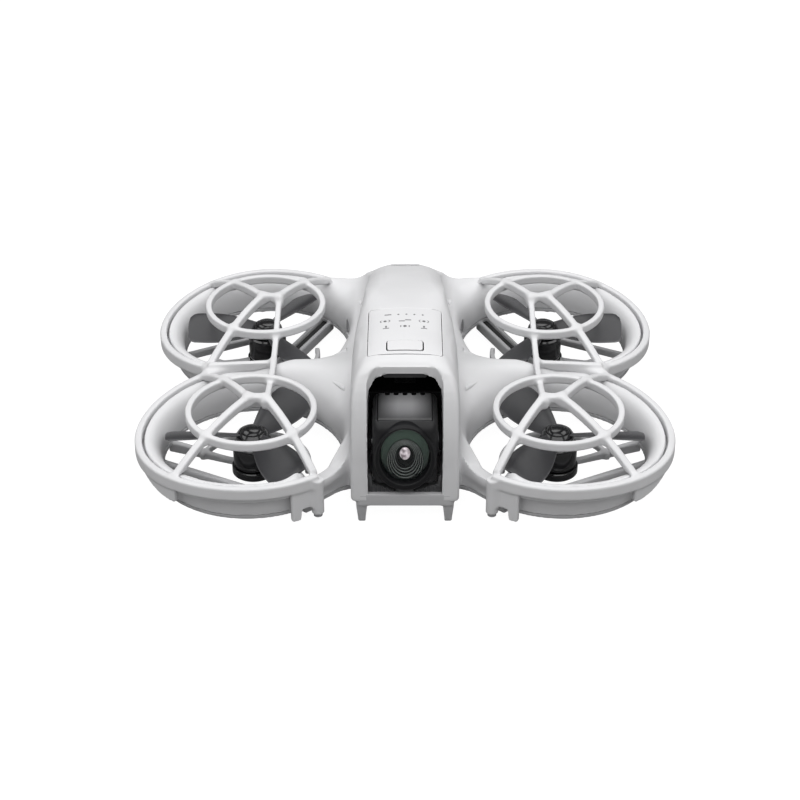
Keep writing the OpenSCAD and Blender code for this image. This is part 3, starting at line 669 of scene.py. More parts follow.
def fuselage(x, y, z):
    high = ease(13, 23, z) * ease(-30, 25, y)
    plan = np.abs(x) - (BODY_HW - 0.6 * ease(-40, -60, y) - 1.0 * ease(30, 66, y) - 1.6 * high)
    return round_max(round_max(SIDE(y, z), FRONT(np.abs(x), z), 1.6), plan, 0.8 + 9.7 * high)


def rotor_radius(x, y):
    """Distance to the nearest rotor axis on the right side."""
    return np.hypot(x - ROTOR_X, np.abs(y) - ROTOR_Y)


def crest(x, y):
    """Height of the top of a guard rim."""
    return 18.95 - 0.008 * y - 3.0 * (np.maximum(x - ROTOR_X, 0) / GUARD_R) ** 2


def deck(x, y):
    """Height of the shell's top around the ducts."""
    h = crest(x, y) - 0.75
    bridge = 2.6 * np.exp(-(y / 9.0) ** 2) * (1 - ease(33, 46, x))
    bridge = bridge - 0.5 * np.exp(-(y / 5.0) ** 2) * ease(43, 47, x)
    dip = ease(31, 26, x) * ease(-40, -47, y) * (h - 14.6)
    return h + bridge - dip


def flare_width(x, y):
    """How far the bell mouth may spread, by direction about the rotor axis."""
    dx, dy = x - ROTOR_X, np.abs(y) - ROTOR_Y
    r = np.maximum(np.hypot(dx, dy), 1e-3)
    c, s = dx / r, dy / r
    to_flank = (ROTOR_X - BODY_HW) / np.maximum(-c, 1e-3)
    to_middle = ROTOR_Y / np.maximum(-s, 1e-3)
    room = smin(smin(to_flank, to_middle, 8.0) - THROAT_R, 9.0, 2.0)
    inner = ease(-0.25, -0.6, c)
    calm = ease(36, 29, x) * ease(-37, -45, y)
    return (5.0 + inner * (np.maximum(room, 2.0) - 5.0)) * (1 - 0.8 * calm)


def duct_outside(x, y, z):
    """The duct's wall, with a flange that closes the gap under the guard's band."""
    lip = deck(x, y)
    r = rotor_radius(x, y)
    wall = r - (DUCT_R + 1.8 * ease(lip - 6.5, lip - 1.5, z))
    angle = np.degrees(np.arctan2(np.abs(y) - ROTOR_Y, x - ROTOR_X))
    flange = np.maximum(r - FLANGE_R, np.abs(z - lip + 4.0) - 1.0)
    flange = np.maximum(flange, np.radians(np.abs(angle - 33) - 92) * 30)
    return np.minimum(wall, flange)


POSTS = ((24.4, -57.8), (60.4, 0.0), (24.7, 58.7))   # guard posts on the right side
BOSS_R = 2.5                               # bosses that hold them


def latch_space():
    """Slots at the tail for the battery's latch buttons."""
    return box("latch_space", (-BODY_HW - 3, 47, 9.5), (BODY_HW + 3, 70, 16.5))


def shell_field(x, y, z):
    body = fuselage(x, y, z)
    ground = smin(z - deck(x, y), body, 8.0)
    wide = flare_width(x, y)
    tall = 8.0 + 0.5 * (wide - 5.0)
    throat = THROAT_R - rotor_radius(x, y)
    mouth = round_max(throat, ground * wide / tall, wide)
    foot = smin(body, duct_outside(x, y, z), 2.0)
    for web in (PLAN_WEB_FRONT, PLAN_WEB_REAR, PLAN_WEB_MID):
        foot = smin(foot, web(x, y), 2.0)
    solid = round_max(np.maximum(mouth, throat), foot, 0.5)
    for px, py in POSTS[1:]:
        boss = round_max(np.hypot(x - px, y - py) - BOSS_R, z - 13.45, 0.3)
        solid = smin(solid, boss, 0.8)
    solid = np.maximum(solid, SEAM_Z + 0.12 - z)
    room = np.maximum(body + WALL, -27.6 - y)
    thick = 1.3 + (1.1 + 0.8 * ease(4, 10.4, x)) * ease(-41.4, -42.2, y)
    bay_side = x - BAY_HW - 0.1
    bay = meet(bay_side, y + 29.4, np.minimum(body + thick, round_max(bay_side, y + 43.5, 4.0)))
    return meet(solid, -room, -round_max(bay, z - 60, 0.6))


def build_shell():
    """Fuselage cover with its duct mouths, cut for the panel, the button, the tail and vents."""
    shell = solid("shell_body", shell_field, (0, -66, SEAM_Z - 1.5), (79, 66, BODY_TOP + 1.5), 0.5,
                  40, mirror=True)
    tools = [panel_space(0.2, 1.3, -1.7), button_space(),
             box("t", (-12.7, 30, 0), (12.7, 70, 18.5)),
             latch_space()]
    tools += [prism("vent", rounded(1.9, 4.6, 1.2, s * 17.2, 35), 9.0, 14.0) for s in (-1, 1)]
    carve(shell, *tools, sharp=40)
    return finish_piece(shell, "airframe", "shell", "shell_plastic", "upper_shell")


PANEL_HW, PANEL_MID, PANEL_HALF = 10.4, -26.5, 12.5   # half width, centre and half length
BUTTON_Y, POWER_Y, POWER_R = -35.25, 44.5, 4.6


def clipped_patch(name, outline, top, depth):
    """A piece of the skin cut to an outline in plan."""
    pts = np.array(outline)
    lo, hi = pts.min(0) - 1.2, pts.max(0) + 1.2
    ys = np.linspace(lo[1], hi[1], 60)
    height = []
    for y in ys:
        zs = np.linspace(10, BODY_TOP + 1, 300)
        f = fuselage(np.full_like(zs, max(abs(lo[0]), abs(hi[0]))), np.full_like(zs, y), zs)
        height.append(zs[f < 0].max() if (f < 0).any() else 20)
    z0 = min(height) - depth - 3
    z1 = BODY_TOP + top + 1

    def field(px, py, pz):
        body = fuselage(px, py, pz)
        window = np.maximum(between(px, lo[0], hi[0]), between(py, lo[1], hi[1]))
        return meet(between(body, -depth, top), window, z0 - pz)

    patch = solid(name, field, (lo[0] - 0.6, lo[1] - 0.6, z0 - 0.6),
                  (hi[0] + 0.6, hi[1] + 0.6, z1 + 0.6), 0.3, 30)
    return carve(patch, prism("clip", outline, z0 - 5, z1 + 5), keep=True, sharp=30)


def panel_space(extra, top, depth):
    outline = rounded(PANEL_HW + extra, PANEL_HALF + extra, 0.8, 0, PANEL_MID)
    return clipped_patch("panel_space", outline, top, -depth)


def button_space():
    outline = rounded(POWER_R + 0.12, POWER_R + 0.12, POWER_R, 0, POWER_Y, 12)
    return clipped_patch("button_space", outline, 1.0, 1.2)


def build_panel():
    """Control panel, its button, and the power button on the tail."""
    panel = clipped_patch("control_panel", rounded(PANEL_HW, PANEL_HALF, 0.7, 0, PANEL_MID),
                          0.0, 0.8)
    slot = prism("slot", rounded(5.3, 2.6, 0.9, 0, BUTTON_Y), 30, 60)
    carve(panel, slot, sharp=30)
    finish_piece(panel, "airframe", "shell", "shell_plastic", "indicator_panel")
    key = clipped_patch("mode_key", rounded(4.9, 2.25, 0.7, 0, BUTTON_Y + 0.27), 0.0, 0.8)
    key = join("mode_key", [key, rod(1.0, 45.0, 46.9, 24, at=(0, BUTTON_Y, 0))], 30)
    finish_piece(key, "mode_button", "shell", "shell_plastic", "mode_button")
    power = clipped_patch("power_key", rounded(POWER_R - 0.08, POWER_R - 0.08, POWER_R - 0.1, 0,
                                               POWER_Y, 12), 0.0, 1.1)
    finish_piece(power, "power_button", "shell", "shell_plastic", "power_button")


# ---------------------------------------------------------------- lower frame
def turned(x, y, angle):
    """Coordinates along and across a direction from a rotor's axis."""
    c, s = math.cos(math.radians(angle)), math.sin(math.radians(angle))
    return x * c + y * s, -x * s + y * c


ARM_TURN, ARM_SIDE = 116, 7.5              # direction and offset of a motor's arm
CUP_R, CUP_IN = 5.9, 5.2                   # the cup that a motor stands in
BRACE_R = 16.1                             # half ring around it


def mount_field(x, y, z, s):
    """Cup, spokes and brace of a motor mount on the right side, about its axis."""
    u, v = x - ROTOR_X, y - s * ROTOR_Y
    r = np.hypot(u, v)
    cup = round_max(r - CUP_R, between(z, 2.6, 4.6), 0.3)
    out = np.maximum(cup, -np.maximum(r - CUP_IN, 3.6 - z))
    a, b = turned(u, v, -20 * s)
    spoke = np.maximum(np.abs(b) - 0.95, between(a, 5.6, 27.5))
    spoke = round_max(spoke, np.maximum(3.2 - z, z - 5.0 - 1.6 * ease(8, 26, a)), 0.5)
    a, b = turned(u, v, -27 * s)
    bar = np.maximum(np.abs(b - 11.8 * s) - 0.9, np.abs(a) - 24.6)
    bar = round_max(bar, between(z, 3.2, 5.6), 0.5)
    out = smin(smin(out, spoke, 1.2), bar, 1.2)
    a, b = turned(u, v, ARM_TURN * s)
    b = b - ARM_SIDE * s
    arm = np.maximum(np.abs(b) - 2.4, between(a, -4.0, 27))
    arm = round_max(arm, between(z, 3.0, 6.9), 0.5)
    arm = np.maximum(arm, -round_max(np.abs(b) - 1.3, 5.1 - z, 0.3))
    out = smin(out, arm, 1.2)
    angle = np.degrees(np.arctan2(v, u))
    off = np.abs((angle + 103 * s + 180) % 360 - 180) - 90
    brace = np.maximum(np.abs(r - BRACE_R) - 0.75, np.radians(off) * r)
    return smin(out, round_max(brace, between(z, 3.4, 5.6), 0.5), 1.0)


TRAY_HW, TRAY_FRONT, TRAY_BACK, TRAY_TOP = 13.3, -7.2, 46, 19.2
FEET = ((12.3, -52.0), (11.6, 54.0))
CASE_SCREWS = ((13.1, -41), (13.1, 41))
SCREW_HOLE = 1.35


def frame_field(x, y, z):
    body = fuselage(x, y, z)
    r = rotor_radius(x, y)
    plate = smin(smin(body, PLAN_WEB_FRONT(x, y), 1.5), smin(PLAN_WEB_REAR(x, y),
                                                          PLAN_WEB_MID(x, y), 1.5), 1.5)
    plate = smin(plate, r - 29.3, 1.5)
    low = 5.75 + 0.25 * ease(15, 19, x)
    slab = between(z, low, SEAM_Z)
    plate = round_max(plate, slab, 0.35)
    for px, py in POSTS[1:]:
        plate = smin(plate, round_max(np.hypot(x - px, y - py) - BOSS_R, slab, 0.3), 0.6)
    plate = np.maximum(plate, THROAT_R - r)
    out = plate
    for s in (-1, 1):
        out = smin(out, mount_field(x, y, z, s), 0.8)
    out = np.where(np.abs(x) < 16, plate, out)
    tray = meet(x - TRAY_HW, between(y, TRAY_FRONT, TRAY_BACK), between(z, 6, TRAY_TOP))
    out = np.minimum(out, tray)
    lip = round_max(np.maximum(x - 13, np.abs(y + 53.1) - 0.85), between(z, 6.0, 9.9), 0.3)
    out = np.minimum(out, lip)
    for fx, fy in FEET:
        half = 1.05 + 0.5 * ease(0, 6.5, z)
        leg = np.maximum(np.abs(x - fx), np.abs(y - fy)) - half
        leg = round_max(leg, np.abs(z - 3.4) - 3.4, 0.35)
        out = smin(out, leg, 0.8)
    room = meet(x - 12.6, -6.15 - y, between(z, SEAM_Z - 0.3, 18.4))
    return np.maximum(out, -room)


def build_frame():
    obj = solid("frame_body", frame_field, (0, -64, -0.8), (76, 66, 20), 0.45, 40, mirror=True)
    tools = [rod(4.1, 0, 9, 48, at=(0, -18, 0)),
             box("t", (-9.1, -25.1, 0), (9.1, -10.9, 6.35)),
             latch_space()]
    for x, y in POSTS + CASE_SCREWS:
        for s in (-1, 1):
            tools.append(rod(SCREW_HOLE, 0, 6.5, 24, at=(s * x, y, 0)))
    carve(obj, *tools, sharp=40)
    return finish_piece(obj, "airframe", "frame", "frame_plastic", "lower_frame")


# ---------------------------------------------------------------- guards
HUB_TOP, RING_R, RING_TOP = 27.2, 19.0, 24.4
BAND_R, SKIRT_R = 33.02, 32.8              # middle radius of the rim and of the tabs below it
STRUT_HALF, STRUT_DEEP = 1.1, 2.9
SPINE_REACH = 31                           # the spine between the two hubs, fore and aft
HUB_OUT, HUB_IN, HUB_Y = 45.4, 40.1, {-1: -28.8, 1: 31.2}
STRUT_ENDS = {-1: ((64.5, -56.6), (61.4, -2.6), (25.4, -55.6)),
              1: ((60.6, 1.8), (64.5, 57.2), (25.4, 57.9))}


def strut_field(x, y, z, start, angle, length, end_z, half, depth):
    """Tall thin strut that falls from a hub along a direction to the rim."""
    a, b = turned(x - start[0], y - start[1], angle)
    t = np.clip(a / length, 0, 1.05)
    top = HUB_TOP - (HUB_TOP - end_z) * t * t
    d = depth * (1 - 0.25 * t)
    side = np.maximum(np.abs(b) - half, between(a, -1.5, length))
    return round_max(side, np.abs(z - top + d / 2) - d / 2, half * 0.45)


def guard_field(x, y, z):
    r = rotor_radius(x, y)
    dx, dy = x - ROTOR_X, np.abs(y) - ROTOR_Y
    angle = np.degrees(np.arctan2(dy, dx))
    top = crest(x, y)
    reach = np.where(y < 0, 127.2, 125.5)
    end = np.radians(np.abs(angle) - reach) * r
    end = np.where(dy < 0, -50.0, end)
    bottom = top - 3.9
    band = np.abs(r - BAND_R) - 1.06
    rim = round_max(band, np.abs(z - (top + bottom) / 2) - (top - bottom) / 2, 0.55)
    rim = round_max(rim, end, 0.6)
    corner = round_max(np.hypot(x - 59.2, y) - 2.4, np.abs(z - top + 2.0) - 2.0, 0.8)
    out = smin(rim, corner, 2.5)
    # tabs on the front rim: one outside with a slanted bottom edge, one at the inner end
    wall = np.abs(r - SKIRT_R) - 0.85
    front = np.where(y < 0, -50.0, 50.0)
    tabs = 1e3
    for middle, half, low in ((31.5, 22, 10.2 + ease(50, 12, angle) * 3.6),
                              (120, 7.2, 9.6 - 3.4 * ease(118.2, 117.2, angle))):
        sides = meet(np.radians(np.abs(angle - middle) - half) * 33, z - top + 2, front)
        tabs = np.minimum(tabs, round_max(sides, np.maximum(low - z, wall), 0.5))
    out = smin(out, tabs, 0.8)
    ring = round_max(np.abs(r - RING_R + 0.9) - 0.9, np.abs(z - RING_TOP + 1.35) - 1.35, 0.4)
    struts = 1e3
    for s in (-1, 1):
        outer, inner_node = (HUB_OUT, HUB_Y[s]), (HUB_IN, HUB_Y[s])
        for start, end in ((outer, STRUT_ENDS[s][0]), (outer, STRUT_ENDS[s][1]),
                           (inner_node, STRUT_ENDS[s][2])):
            ax, ay = end[0] - start[0], end[1] - start[1]
            f = strut_field(x, y, z, start, math.degrees(math.atan2(ay, ax)), math.hypot(ax, ay),
                            float(crest(*end)) - 0.2, STRUT_HALF, STRUT_DEEP)
            struts = smin(struts, f, 1.6)
        middle = (HUB_OUT + HUB_IN) / 2
        arch = 0.9 * np.cos(np.pi * np.clip((x - middle) / 5.3, -0.5, 0.5))
        hub = np.maximum(np.abs(y - HUB_Y[s]) - 1.3, np.abs(x - middle) - 3.4)
        hub = round_max(hub, between(z, HUB_TOP - STRUT_DEEP + arch, HUB_TOP), 0.5)
        struts = smin(struts, hub, 1.2)
    dip = 24.6 - 3.0 * np.cos(np.pi * np.clip(y / SPINE_REACH, -1, 1) / 2) ** 2
    dip = dip + 1.7 * (np.abs(y) / SPINE_REACH) ** 3
    spine = np.maximum(np.abs(x - HUB_IN) - 0.85, np.abs(y) - SPINE_REACH)
    spine = round_max(spine, np.abs(z - dip + 1.1) - 1.1, 0.4)
    beam = round_max(np.maximum(np.abs(y - 0.6) - 0.9, np.abs(x - 50.0) - 10),
                     np.abs(z - 18.9 - 0.05 * (50 - x)) - 1.6, 0.4)
    web = smin(smin(struts, spine, 2.2), beam, 1.6)
    out = smin(out, smin(web, ring, 1.6), 1.6)
    posts = 1e3
    for px, py in POSTS:
        foot = 13.6 if py > -10 else 6.9
        p = np.maximum(np.hypot(x - px, y - py) - 1.75, between(z, foot, top - 1.5))
        posts = np.minimum(posts, p)
    out = smin(out, posts, 1.4)
    lip = deck(x, y)
    clear = np.maximum(duct_outside(x, y, z) - 0.25, z - lip - 0.1)
    return np.maximum(out, -clear)


def build_guards():
    """Both guards, the left one a mirror image of the right one."""
    verts, faces = surface(guard_field, (18, -66, 3.5), (GUARD_R + ROTOR_X + 0.5, 66, 28.2), 0.4)
    for side, s in (("right", 1), ("left", -1)):
        v = verts * (s, 1, 1)
        f = faces if s > 0 else faces[:, ::-1]
        obj = new_object("rotor_guard_" + side, v, f, 50)
        finish_piece(obj, "airframe", "guard", "shell_plastic", "guard_" + side)


# ---------------------------------------------------------------- rotors
ROTORS = {"front_left": (-1, -1), "front_right": (1, -1), "rear_left": (-1, 1),
          "rear_right": (1, 1)}
BLADE_Z = 14.75                            # height of the blades
ROOT_R = 2.4                               # radius at which they begin


def blade_sections(spin, n=26, m=28):
    """Airfoil sections of one blade along +X, as a list of rings of points."""
    rings = []
    for i in range(n + 1):
        t = i / n
        r = ROOT_R + (PROP_R - ROOT_R) * t
        chord = 4.2 + 7.9 * math.sin(0.5 * math.pi * min(1, 1.3 * t))
        tip = max(0.0, (t - 0.9) / 0.1)
        chord *= math.sqrt(1 - 0.45 * tip ** 3)
        shift = 0.4 * t
        twist = math.radians(33 - 13 * t ** 0.7)
        thick = (0.13 - 0.08 * t) * chord + 0.12
        camber = 0.045 * chord
        ring = []
        for j in range(m):
            a = 2 * math.pi * j / m
            u = 0.5 * math.cos(a)
            shape = math.sin(a) * (0.5 + 0.22 * math.cos(a))
            h = thick * shape + camber * (1 - 4 * u * u)
            w = u * chord
            x, z = w * math.cos(twist) - h * math.sin(twist), w * math.sin(twist) + h * math.cos(twist)
            side = spin * (x + shift)
            ring.append((math.sqrt(max(r * r - t * side * side, 1.0)), side, BLADE_Z + z))
        rings.append(ring)
    return rings


def blade(spin):
    rings = blade_sections(spin)
    m = len(rings[0])
    verts = [p for ring in rings for p in ring]
    faces = [tuple(range(m)), tuple(range((len(rings) - 1) * m, len(rings) * m))]
    for i in range(len(rings) - 1):
        for j in range(m):
            k = (j + 1) % m
            faces.append((i * m + j, i * m + k, (i + 1) * m + k, (i + 1) * m + j))
    obj = new_object("blade", verts, faces, 60)
    turn_out(obj)
    return obj


def build_rotors():
    """Blades and hub of each propeller, and the motor below it."""
    for name, (cx, cy) in ROTORS.items():
        at = Matrix.Translation(Vector((cx * ROTOR_X, cy * ROTOR_Y, 0)) * MM)
        start = 0 if cx > 0 else 180
        blades = []
        for i in range(3):
            b = blade(cx * cy)
            b.data.transform(at @ Matrix.Rotation(math.radians(start + 120 * i), 4, "Z"))
            blades.append(b)
        prop = join("propeller_blades_" + name, blades, 40)
        finish_piece(prop, "rotor_" + name, "prop", "prop_plastic", "propeller_" + name)
        hub = [(0.55, 12.95), (4.6, 12.95), (4.9, 13.2), (4.95, 14.4), (4.75, 15.2), (4.3, 15.9),
               (3.7, 16.35), (3.6, 16.42), (3.5, 16.38), (3.42, 16.2), (3.3, 16.2), (3.25, 16.45)]
        dome = [(3.2 * math.cos(a), 16.55 + 0.75 * math.sin(a)) for a in np.linspace(0.1, 1.5, 8)]
        cap = lathe("propeller_hub_" + name, hub + dome + [(0, 17.3), (0, 16.0), (0.55, 15.9)], 96)
        cap.data.transform(at)
        finish_piece(cap, "rotor_" + name, "gloss", "gloss_black", "hub_cap_" + name)
        build_bell(name, at)


def build_leads():
    """Three wires from each motor, lying in the channel of its arm."""
    leads = []
    for cx, cy in ROTORS.values():
        for i in (-1, 0, 1):
            wire = rod(0.4, -2, 26.5, 16)
            turn = Matrix.Rotation(math.radians(ARM_TURN * cy), 4, "Z") @ Matrix.Translation(
                Vector((0, ARM_SIDE * cy + 0.8 * i, 5.62)) * MM) @ Matrix.Rotation(math.pi / 2, 4, "Y")
            wire.data.transform(turn)
            for v in wire.data.vertices:
                v.co.x = (v.co.x + ROTOR_X * MM) * cx
                v.co.y += cy * ROTOR_Y * MM
            turn_out(wire)
            leads.append(wire)
    finish_piece(join("motor_leads", leads, 40), "airframe", "rubber", "wire_rubber", "motor_wires")


def build_bell(name, at):
    base = lathe("motor_base_" + name, [(5.95, 2.55), (6.3, 2.55), (6.5, 2.75), (6.5, 4.85), (6.3, 5.1),
                                        (5.95, 5.1)], 96, sharp=30)
    base.data.transform(at)
    finish_piece(base, "airframe", "gloss", "motor_black")
    outer = [(5.5, 5.4), (5.85, 5.5), (5.98, 5.8), (5.98, 6.5), (5.9, 6.62), (5.98, 6.74), (5.98, 11.4),
             (5.75, 12.3), (5.2, 12.7), (0.5, 12.8), (0.5, 11.8), (5.0, 11.7), (5.2, 11.4),
             (5.2, 5.4)]
    bell = lathe("motor_can_" + name, outer, 96, sharp=30)
    tools = []
    for i in range(6):
        a = math.radians(60 * i + 30)
        tools.append(rod(0.95, 10, 14, 20, at=(3.4 * math.cos(a), 3.4 * math.sin(a), 0)))
    carve(bell, *tools, sharp=30)
    bell.data.transform(at)
    finish_piece(bell, "rotor_" + name, "gloss", "motor_black", "motor_bell_" + name)


# ---------------------------------------------------------------- camera head
HEAD_HW = 9.1


def head_field(x, y, z):
    side = box_field((0 * y, y, z), (0, -44.6, TILT_Z), (20, 9.6, 10.75), 4.0)
    return round_max(side, np.abs(x) - HEAD_HW, 2.2)


def build_head():
    """Housing of the camera and its slotted top cover."""
    def housing(x, y, z):
        f = np.maximum(head_field(x, y, z), y + 36.2)
        top = round_max(np.maximum(np.abs(x) - 7.75, y + 35.0), 31.9 - z, 0.2)
        f = np.maximum(f, -np.maximum(top, -51.6 - y))
        inside = np.maximum(head_field(x, y, z) + 1.2, -50.5 - y)
        return np.maximum(f, -inside)

    obj = solid("camera_shell", housing, (-10, -56, 11), (10, -34, 35), 0.35)
    tools = [oval_stack("t", [(7.9, 9.7, -60), (7.9, 9.7, -52.0)], 64, closed=False),
             rod(6.4, 60, 49, 48, axis="Y", at=(0, 0, BEZEL_Z)),
             rod(6.15, 5.0, 11, 48, axis="X", at=(0, TILT_Y, TILT_Z)),
             rod(2.25, -11, -5, 32, axis="X", at=(0, TILT_Y, TILT_Z))]
    carve(obj, *tools)
    finish_piece(obj, "camera", "camera", "camera_plastic", "camera_housing")

    def lid(x, y, z):
        f = head_field(x, y, z)
        edge = np.maximum(np.abs(x) - 7.6, between(y, -51.4, -36.3))
        return np.maximum(round_max(f + 0.05, edge, 0.35), 32.1 - z)

    cap = solid("camera_top_cover", lid, (-9, -53, 30), (9, -34, 35), 0.3)
    tools = [prism("t", rounded(0.72, 2.2, 0.6, 2.5 * i, -36.9), 30, 36) for i in range(-2, 3)]
    carve(cap, *tools)
    finish_piece(cap, "camera", "camera_top", "camera_plastic", "camera_cap")


def oval(n, r, h):
    return [(r * math.cos(2 * math.pi * i / n), h * math.sin(2 * math.pi * i / n)) for i in range(n)]


def oval_stack(name, rings, n=96, closed=True, sharp=35, drop=0.0):
    """Solid from ovals given as (half width, half height, depth), in front of the tilt axis."""
    verts, faces = [], []
    for r, h, y, *up in rings:
        verts += [(x, y, BEZEL_Z - drop + sum(up) + z) for x, z in oval(n, max(r, 0.001), max(h, 0.001))]
    count = len(rings)
    for i in range(count if closed else count - 1):
        a, b = i * n, ((i + 1) % count) * n
        faces += [(a + j, a + (j + 1) % n, b + (j + 1) % n, b + j) for j in range(n)]
    if not closed:
        faces += [tuple(range(n)), tuple(range((count - 1) * n, count * n))]
    obj = new_object(name, verts, faces, sharp)
    turn_out(obj)
    smooth(obj, sharp)
    return obj


def build_board():
    """Main board, narrower where the back of the casing closes in."""
    outline = [(12, -27), (12, 34), (7.0, 50), (-7.0, 50), (-12, 34), (-12, -27)]
    plate = prism("main_board_plate", outline, 24.0, 25.1, bevel=0.1, segments=1)
    finish_piece(plate, "airframe", "board", "circuit_board", "main_board")


def build_liner():
    """Black lining of the camera bay, the tongue under its roof and the damper mounts."""
    back = box("bay_back", (-10.3, -30.15, 10), (10.3, -29.45, 43.0), 0.15)
    carve(back, box("t", (-3.3, -31, 39.3), (3.3, -29, 40.2)))
    finish_piece(back, "airframe", "liner", "black_plastic", "bay_liner")
    tongue = prism("bay_tongue", [(-5.9, 40.9), (5.9, 40.9), (7.6, 44.2), (-7.6, 44.2)], -41.4, -40.2,
                   plane="XZ", bevel=0.25)
    finish_piece(tongue, "airframe", "tongue", "black_plastic")
    for side, s in (("left", -1), ("right", 1)):
        shape = [(2.8, 7.4), (2.8, 8.3), (5.0, 9.2), (7.0, 10.1), (9.3, 10.5), (9.45, 13.6), (10.35, 14.0),
                 (10.35, 7.4)]
        foot = prism("bay_mount_" + side, [(s * x, z) for x, z in shape], -50.2, -47.6, plane="XZ",
                     bevel=0.2)
        cuts = [box("t", (s * x - 0.22, -51, 8.0), (s * x + 0.22, -49.7, 13)) for x in
                (4.0, 5.2, 6.4, 7.6, 8.8)]
        carve(foot, *cuts)
        finish_piece(foot, "airframe", "mount", "black_plastic")


def crown(r, h, y, depth, n, *up):
    """Ovals of a domed end, from its edge to its tip."""
    return [(r * math.sin(a), h * math.sin(a), y - depth * math.cos(a), *up)
            for a in np.linspace(math.pi / 2, 0.0, n)]


def build_lens():
    """Oval bezel, cover glass, stepped rings and inner lens."""
    r, h = BEZEL_R, BEZEL_H
    ring = oval_stack("lens_ring", [
        (r, h, -51.8), (r, h, -53.9), (r - 0.12, h - 0.12, -54.4), (r - 0.5, h - 0.5, -54.85),
        (r - 0.95, h - 0.95, -54.95), (7.3, 9.35, -54.8, GLASS_UP), (6.95, 9.05, -54.3, GLASS_UP),
        (6.9, 9.0, -53.0, GLASS_UP), (GLASS_R, GLASS_H, SEAT_Y, GLASS_UP), (7.8, 9.6, SEAT_Y)], 128)
    finish_piece(ring, "camera", "black", "black_plastic", "lens_bezel")
    front = crown(GLASS_R, GLASS_H, -53.6, 1.2, 10, GLASS_UP)
    back = [(GLASS_R * t, GLASS_H * t, -53.3, GLASS_UP) for t in (0, 0.5, 1)]
    glass_front = oval_stack("lens_front", back + front, 96, closed=False, sharp=60)
    finish_piece(glass_front, "camera", "front_glass", "lens_glass", "lens_glass")
    plate = oval_stack("lens_plate", [(6.7, 8.8, SEAT_Y, GLASS_UP), (6.7, 8.8, -52.9, GLASS_UP),
                                      (6.2, 8.2, -52.95, GLASS_UP), (5.1, 7.0, -52.6, WELL_UP),
                                      (5.0, 6.9, SEAT_Y, WELL_UP)], 96)
    finish_piece(plate, "camera", "barrel", "black_plastic")
    rings = []
    for i in range(6):
        a, y = 4.95 - 0.5 * i, -52.7 + 0.14 * i
        b = a - 0.15
        rings.append(oval_stack("ring", [(a, a * RING_TALL, y + 0.9), (a, a * RING_TALL, y),
                                         (b, b * RING_TALL, y), (b, b * RING_TALL, y + 0.9)], 96,
                                drop=RING_DROP - 0.25 * i))
    finish_piece(join("lens_barrel_rings", rings, 30), "camera", "ring", "black_plastic", "lens_barrel")
    well = oval_stack("lens_well", [(5.2, 7.1, -52.0, WELL_UP), (5.2, 7.1, -46, WELL_UP), (0.1, 0.1, -46),
                                    (0.1, 0.1, -52.0)], 96, closed=False)
    finish_piece(well, "camera", "black", "black_plastic")
    dome = crown(1.5, 2.1, -51.9, 1.0, 9)
    core = oval_stack("lens_core", [(1.0, 1.2, -51.7), (1.5, 2.1, -51.8)] + dome, 64, closed=False,
                      sharp=60, drop=-0.1)
    finish_piece(core, "camera", "core", "lens_glass")


# ---------------------------------------------------------------- panel marks
def build_marks():
    """Thin printed marks on the fuselage's top: bars, dots and arcs that spell nothing."""
    row0, row1, row2 = -18.2, -21.9, -25.2
    dials, keys = (-5.7, 5.4), (-5.4, 5.4)
    rows = [(1.0, 0.22, 0.2, -4.9, row0)]
    rows += [(0.3, 0.3, 0.3, x, row0) for x in (-1.9, 0.4, 2.7, 5.1)]
    rows += [(0.45, 0.45, 0.44, x, row1) for x in dials]
    shapes = [rounded(*row) for row in rows]
    for x in dials:
        for s in (-1, 1):
            arc = [(x + s * r * math.cos(a), row1 + 0.8 * math.sin(a))
                   for r, end in ((1.5, 0.9), (1.25, -0.9)) for a in np.linspace(-end, end, 7)]
            shapes.append(arc if s > 0 else arc[::-1])
    rows = [(0.9, 0.2, 0.18, -0.9, row1 - 0.3), (0.9, 0.2, 0.18, 0.9, row1 + 0.3)]
    rows += [(0.9, 0.15, 0.14, x, row2 - 0.8) for x in keys]
    rows += [(0.25, 0.5, 0.24, x, row2 + 0.1) for x in keys]
    rows += [(0.5, 0.5, 0.49, 0.0, row2)] + [(0.15, 0.45, 0.14, x, row2) for x in (-1.2, 1.2)]
    shapes += [rounded(*row) for row in rows]
    marks = join("panel_marks", [clipped_patch("mark", s, 0.06, 0.65) for s in shapes], 40)
    finish_piece(marks, "airframe", "mark", "shell_plastic")


# ---------------------------------------------------------------- battery and its latches
def build_battery():
    """End cap of the battery and its two ribbed latches."""
    def end_field(x, y, z):
        core = box_field((x, y, z), (0, 60.9, 12.65), (12.4, 2.0, 5.5), 1.2)
        return round_max(np.maximum(core, 59.02 - y), fuselage(x, y, z) + 0.02, 0.5)

    cap = solid("battery_tail", end_field, (-13.2, 58, 6), (13.2, 64, 19), 0.35)
    tools = [box("t", (-6.5, 62.3, 9 + 1.1 * i), (6.5, 64.5, 9.45 + 1.1 * i)) for i in range(6)]
    carve(cap, *tools)
    finish_piece(cap, "battery", "battery", "battery_plastic", "battery_end_cap")
    for side, s in (("left", -1), ("right", 1)):
        lo, hi = (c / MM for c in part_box("battery_latch_" + side))
        tab = box("battery_clip_" + side, lo, hi)
        bevelled(tab, 0.35, 3)
        x0, x1 = sorted((s * 14.35, s * 15.4))
        for i in range(5):
            y = lo.y + 1.3 + 1.45 * i
            carve(tab, box("t", (x0, y, lo.z + 0.7), (x1, y + 0.55, hi.z - 0.7)))
        finish_piece(tab, "latch_" + side, "camera", "black_plastic", "battery_latch_" + side)


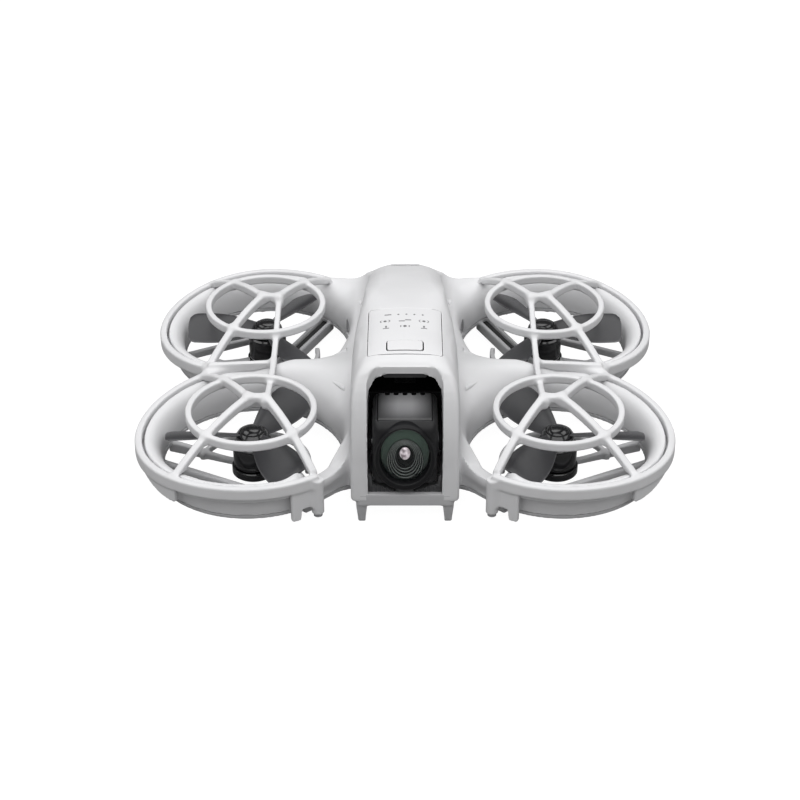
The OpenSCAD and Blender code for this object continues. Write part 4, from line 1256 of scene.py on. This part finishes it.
# ---------------------------------------------------------------- CAD nodes that stay
KEEP = {
    "guard_screws": "screw", "frame_screws": "screw", "motor_screws": "screw",
    "board_chips": "black", "heat_sink": "alloy", "antennas": "board",
    "satellite_receiver": "ceramic", "indicator_board": "board", "vision_camera": "black",
    "belly_window": "window", "charging_socket": "steel", "battery_contacts": "gold",
    "ribbon_cable": "film", "motor_stators": "dark_metal",
    "motor_windings": "copper", "motor_bearings": "steel",
    "gimbal_bracket": "bracket", "gimbal_dampers": "rubber", "gimbal_stator": "dark_metal",
    "pivot_pin": "steel", "image_sensor": "board", "gimbal_magnet": "steel",
    "gimbal_bearing": "steel", "battery_case": "battery", "battery_cells": "wrap",
    "battery_terminals": "gold",
}


def dress_frame():
    for name, obj in frame["nodes"].items():
        key = KEEP.get(name) or ("steel" if name.startswith("motor_shaft") else None)
        if key:
            coat(obj, key)


# ---------------------------------------------------------------- studio
LIGHT_FROM = (0, -0.08, 0.75)              # place of the lamp, in metres; it points at the origin
VIEW_FROM = (0, -451.1, 294.6)             # place of the camera, in millimetres
VIEW_DOWN = 32.5                           # degrees below level
FLOOR_HALF = 9000


def build_studio():
    f = FLOOR_HALF
    floor = new_object("floor", [(-f, -f, 0), (f, -f, 0), (f, f, 0), (-f, f, 0)], [(0, 1, 2, 3)])
    pale = Nodes("pale_floor")
    seen = pale.add("ShaderNodeLightPath").outputs["Is Camera Ray"]
    cloud = pale.spread(pale.noise(6), 0, 1)
    pale.set(Base_Color=pale.mix(seen, pale.mix(cloud, (0.28, 0.28, 0.28), (0.30, 0.30, 0.30)),
                                 (0.10, 0.10, 0.10)),
             Roughness=0.95, Emission_Color=(1.0, 1.0, 1.0),
             Emission_Strength=pale.spread(seen, 0.0, 0.97, 0.0, 1.0))
    floor.data.materials.append(pale.material)
    lamp = bpy.data.lights.new("overhead", "AREA")
    lamp.energy, lamp.shape, lamp.size = 19.5, "DISK", 2.0
    overhead = bpy.data.objects.new("overhead", lamp)
    overhead.location = LIGHT_FROM
    overhead.rotation_euler = (-Vector(LIGHT_FROM)).to_track_quat("-Z", "Y").to_euler()
    bpy.context.scene.collection.objects.link(overhead)
    world = bpy.data.worlds.new("studio")
    world.use_nodes = True
    sky = world.node_tree.nodes["Background"].inputs
    sky[0].default_value, sky[1].default_value = (1, 1, 1, 1), 0.10
    bpy.context.scene.world = world
    bpy.context.scene.view_settings.view_transform = "Standard"


def build_camera():
    data = bpy.data.cameras.new("view")
    data.lens, data.sensor_width = 77.9, 36.0
    data.shift_x = -0.00625
    data.clip_start = 0.01
    obj = bpy.data.objects.new("view", data)
    obj.location = Vector(VIEW_FROM) * MM
    down = math.radians(VIEW_DOWN)
    obj.rotation_euler = Vector((0, math.cos(down), -math.sin(down))).to_track_quat("-Z", "Y").to_euler()
    bpy.context.scene.collection.objects.link(obj)
    bpy.context.scene.camera = obj


dress_frame()
build_shell()
build_panel()
build_marks()
build_frame()
build_guards()
build_rotors()
build_leads()
build_head()
build_lens()
build_liner()
build_board()
build_battery()
build_studio()
build_camera()
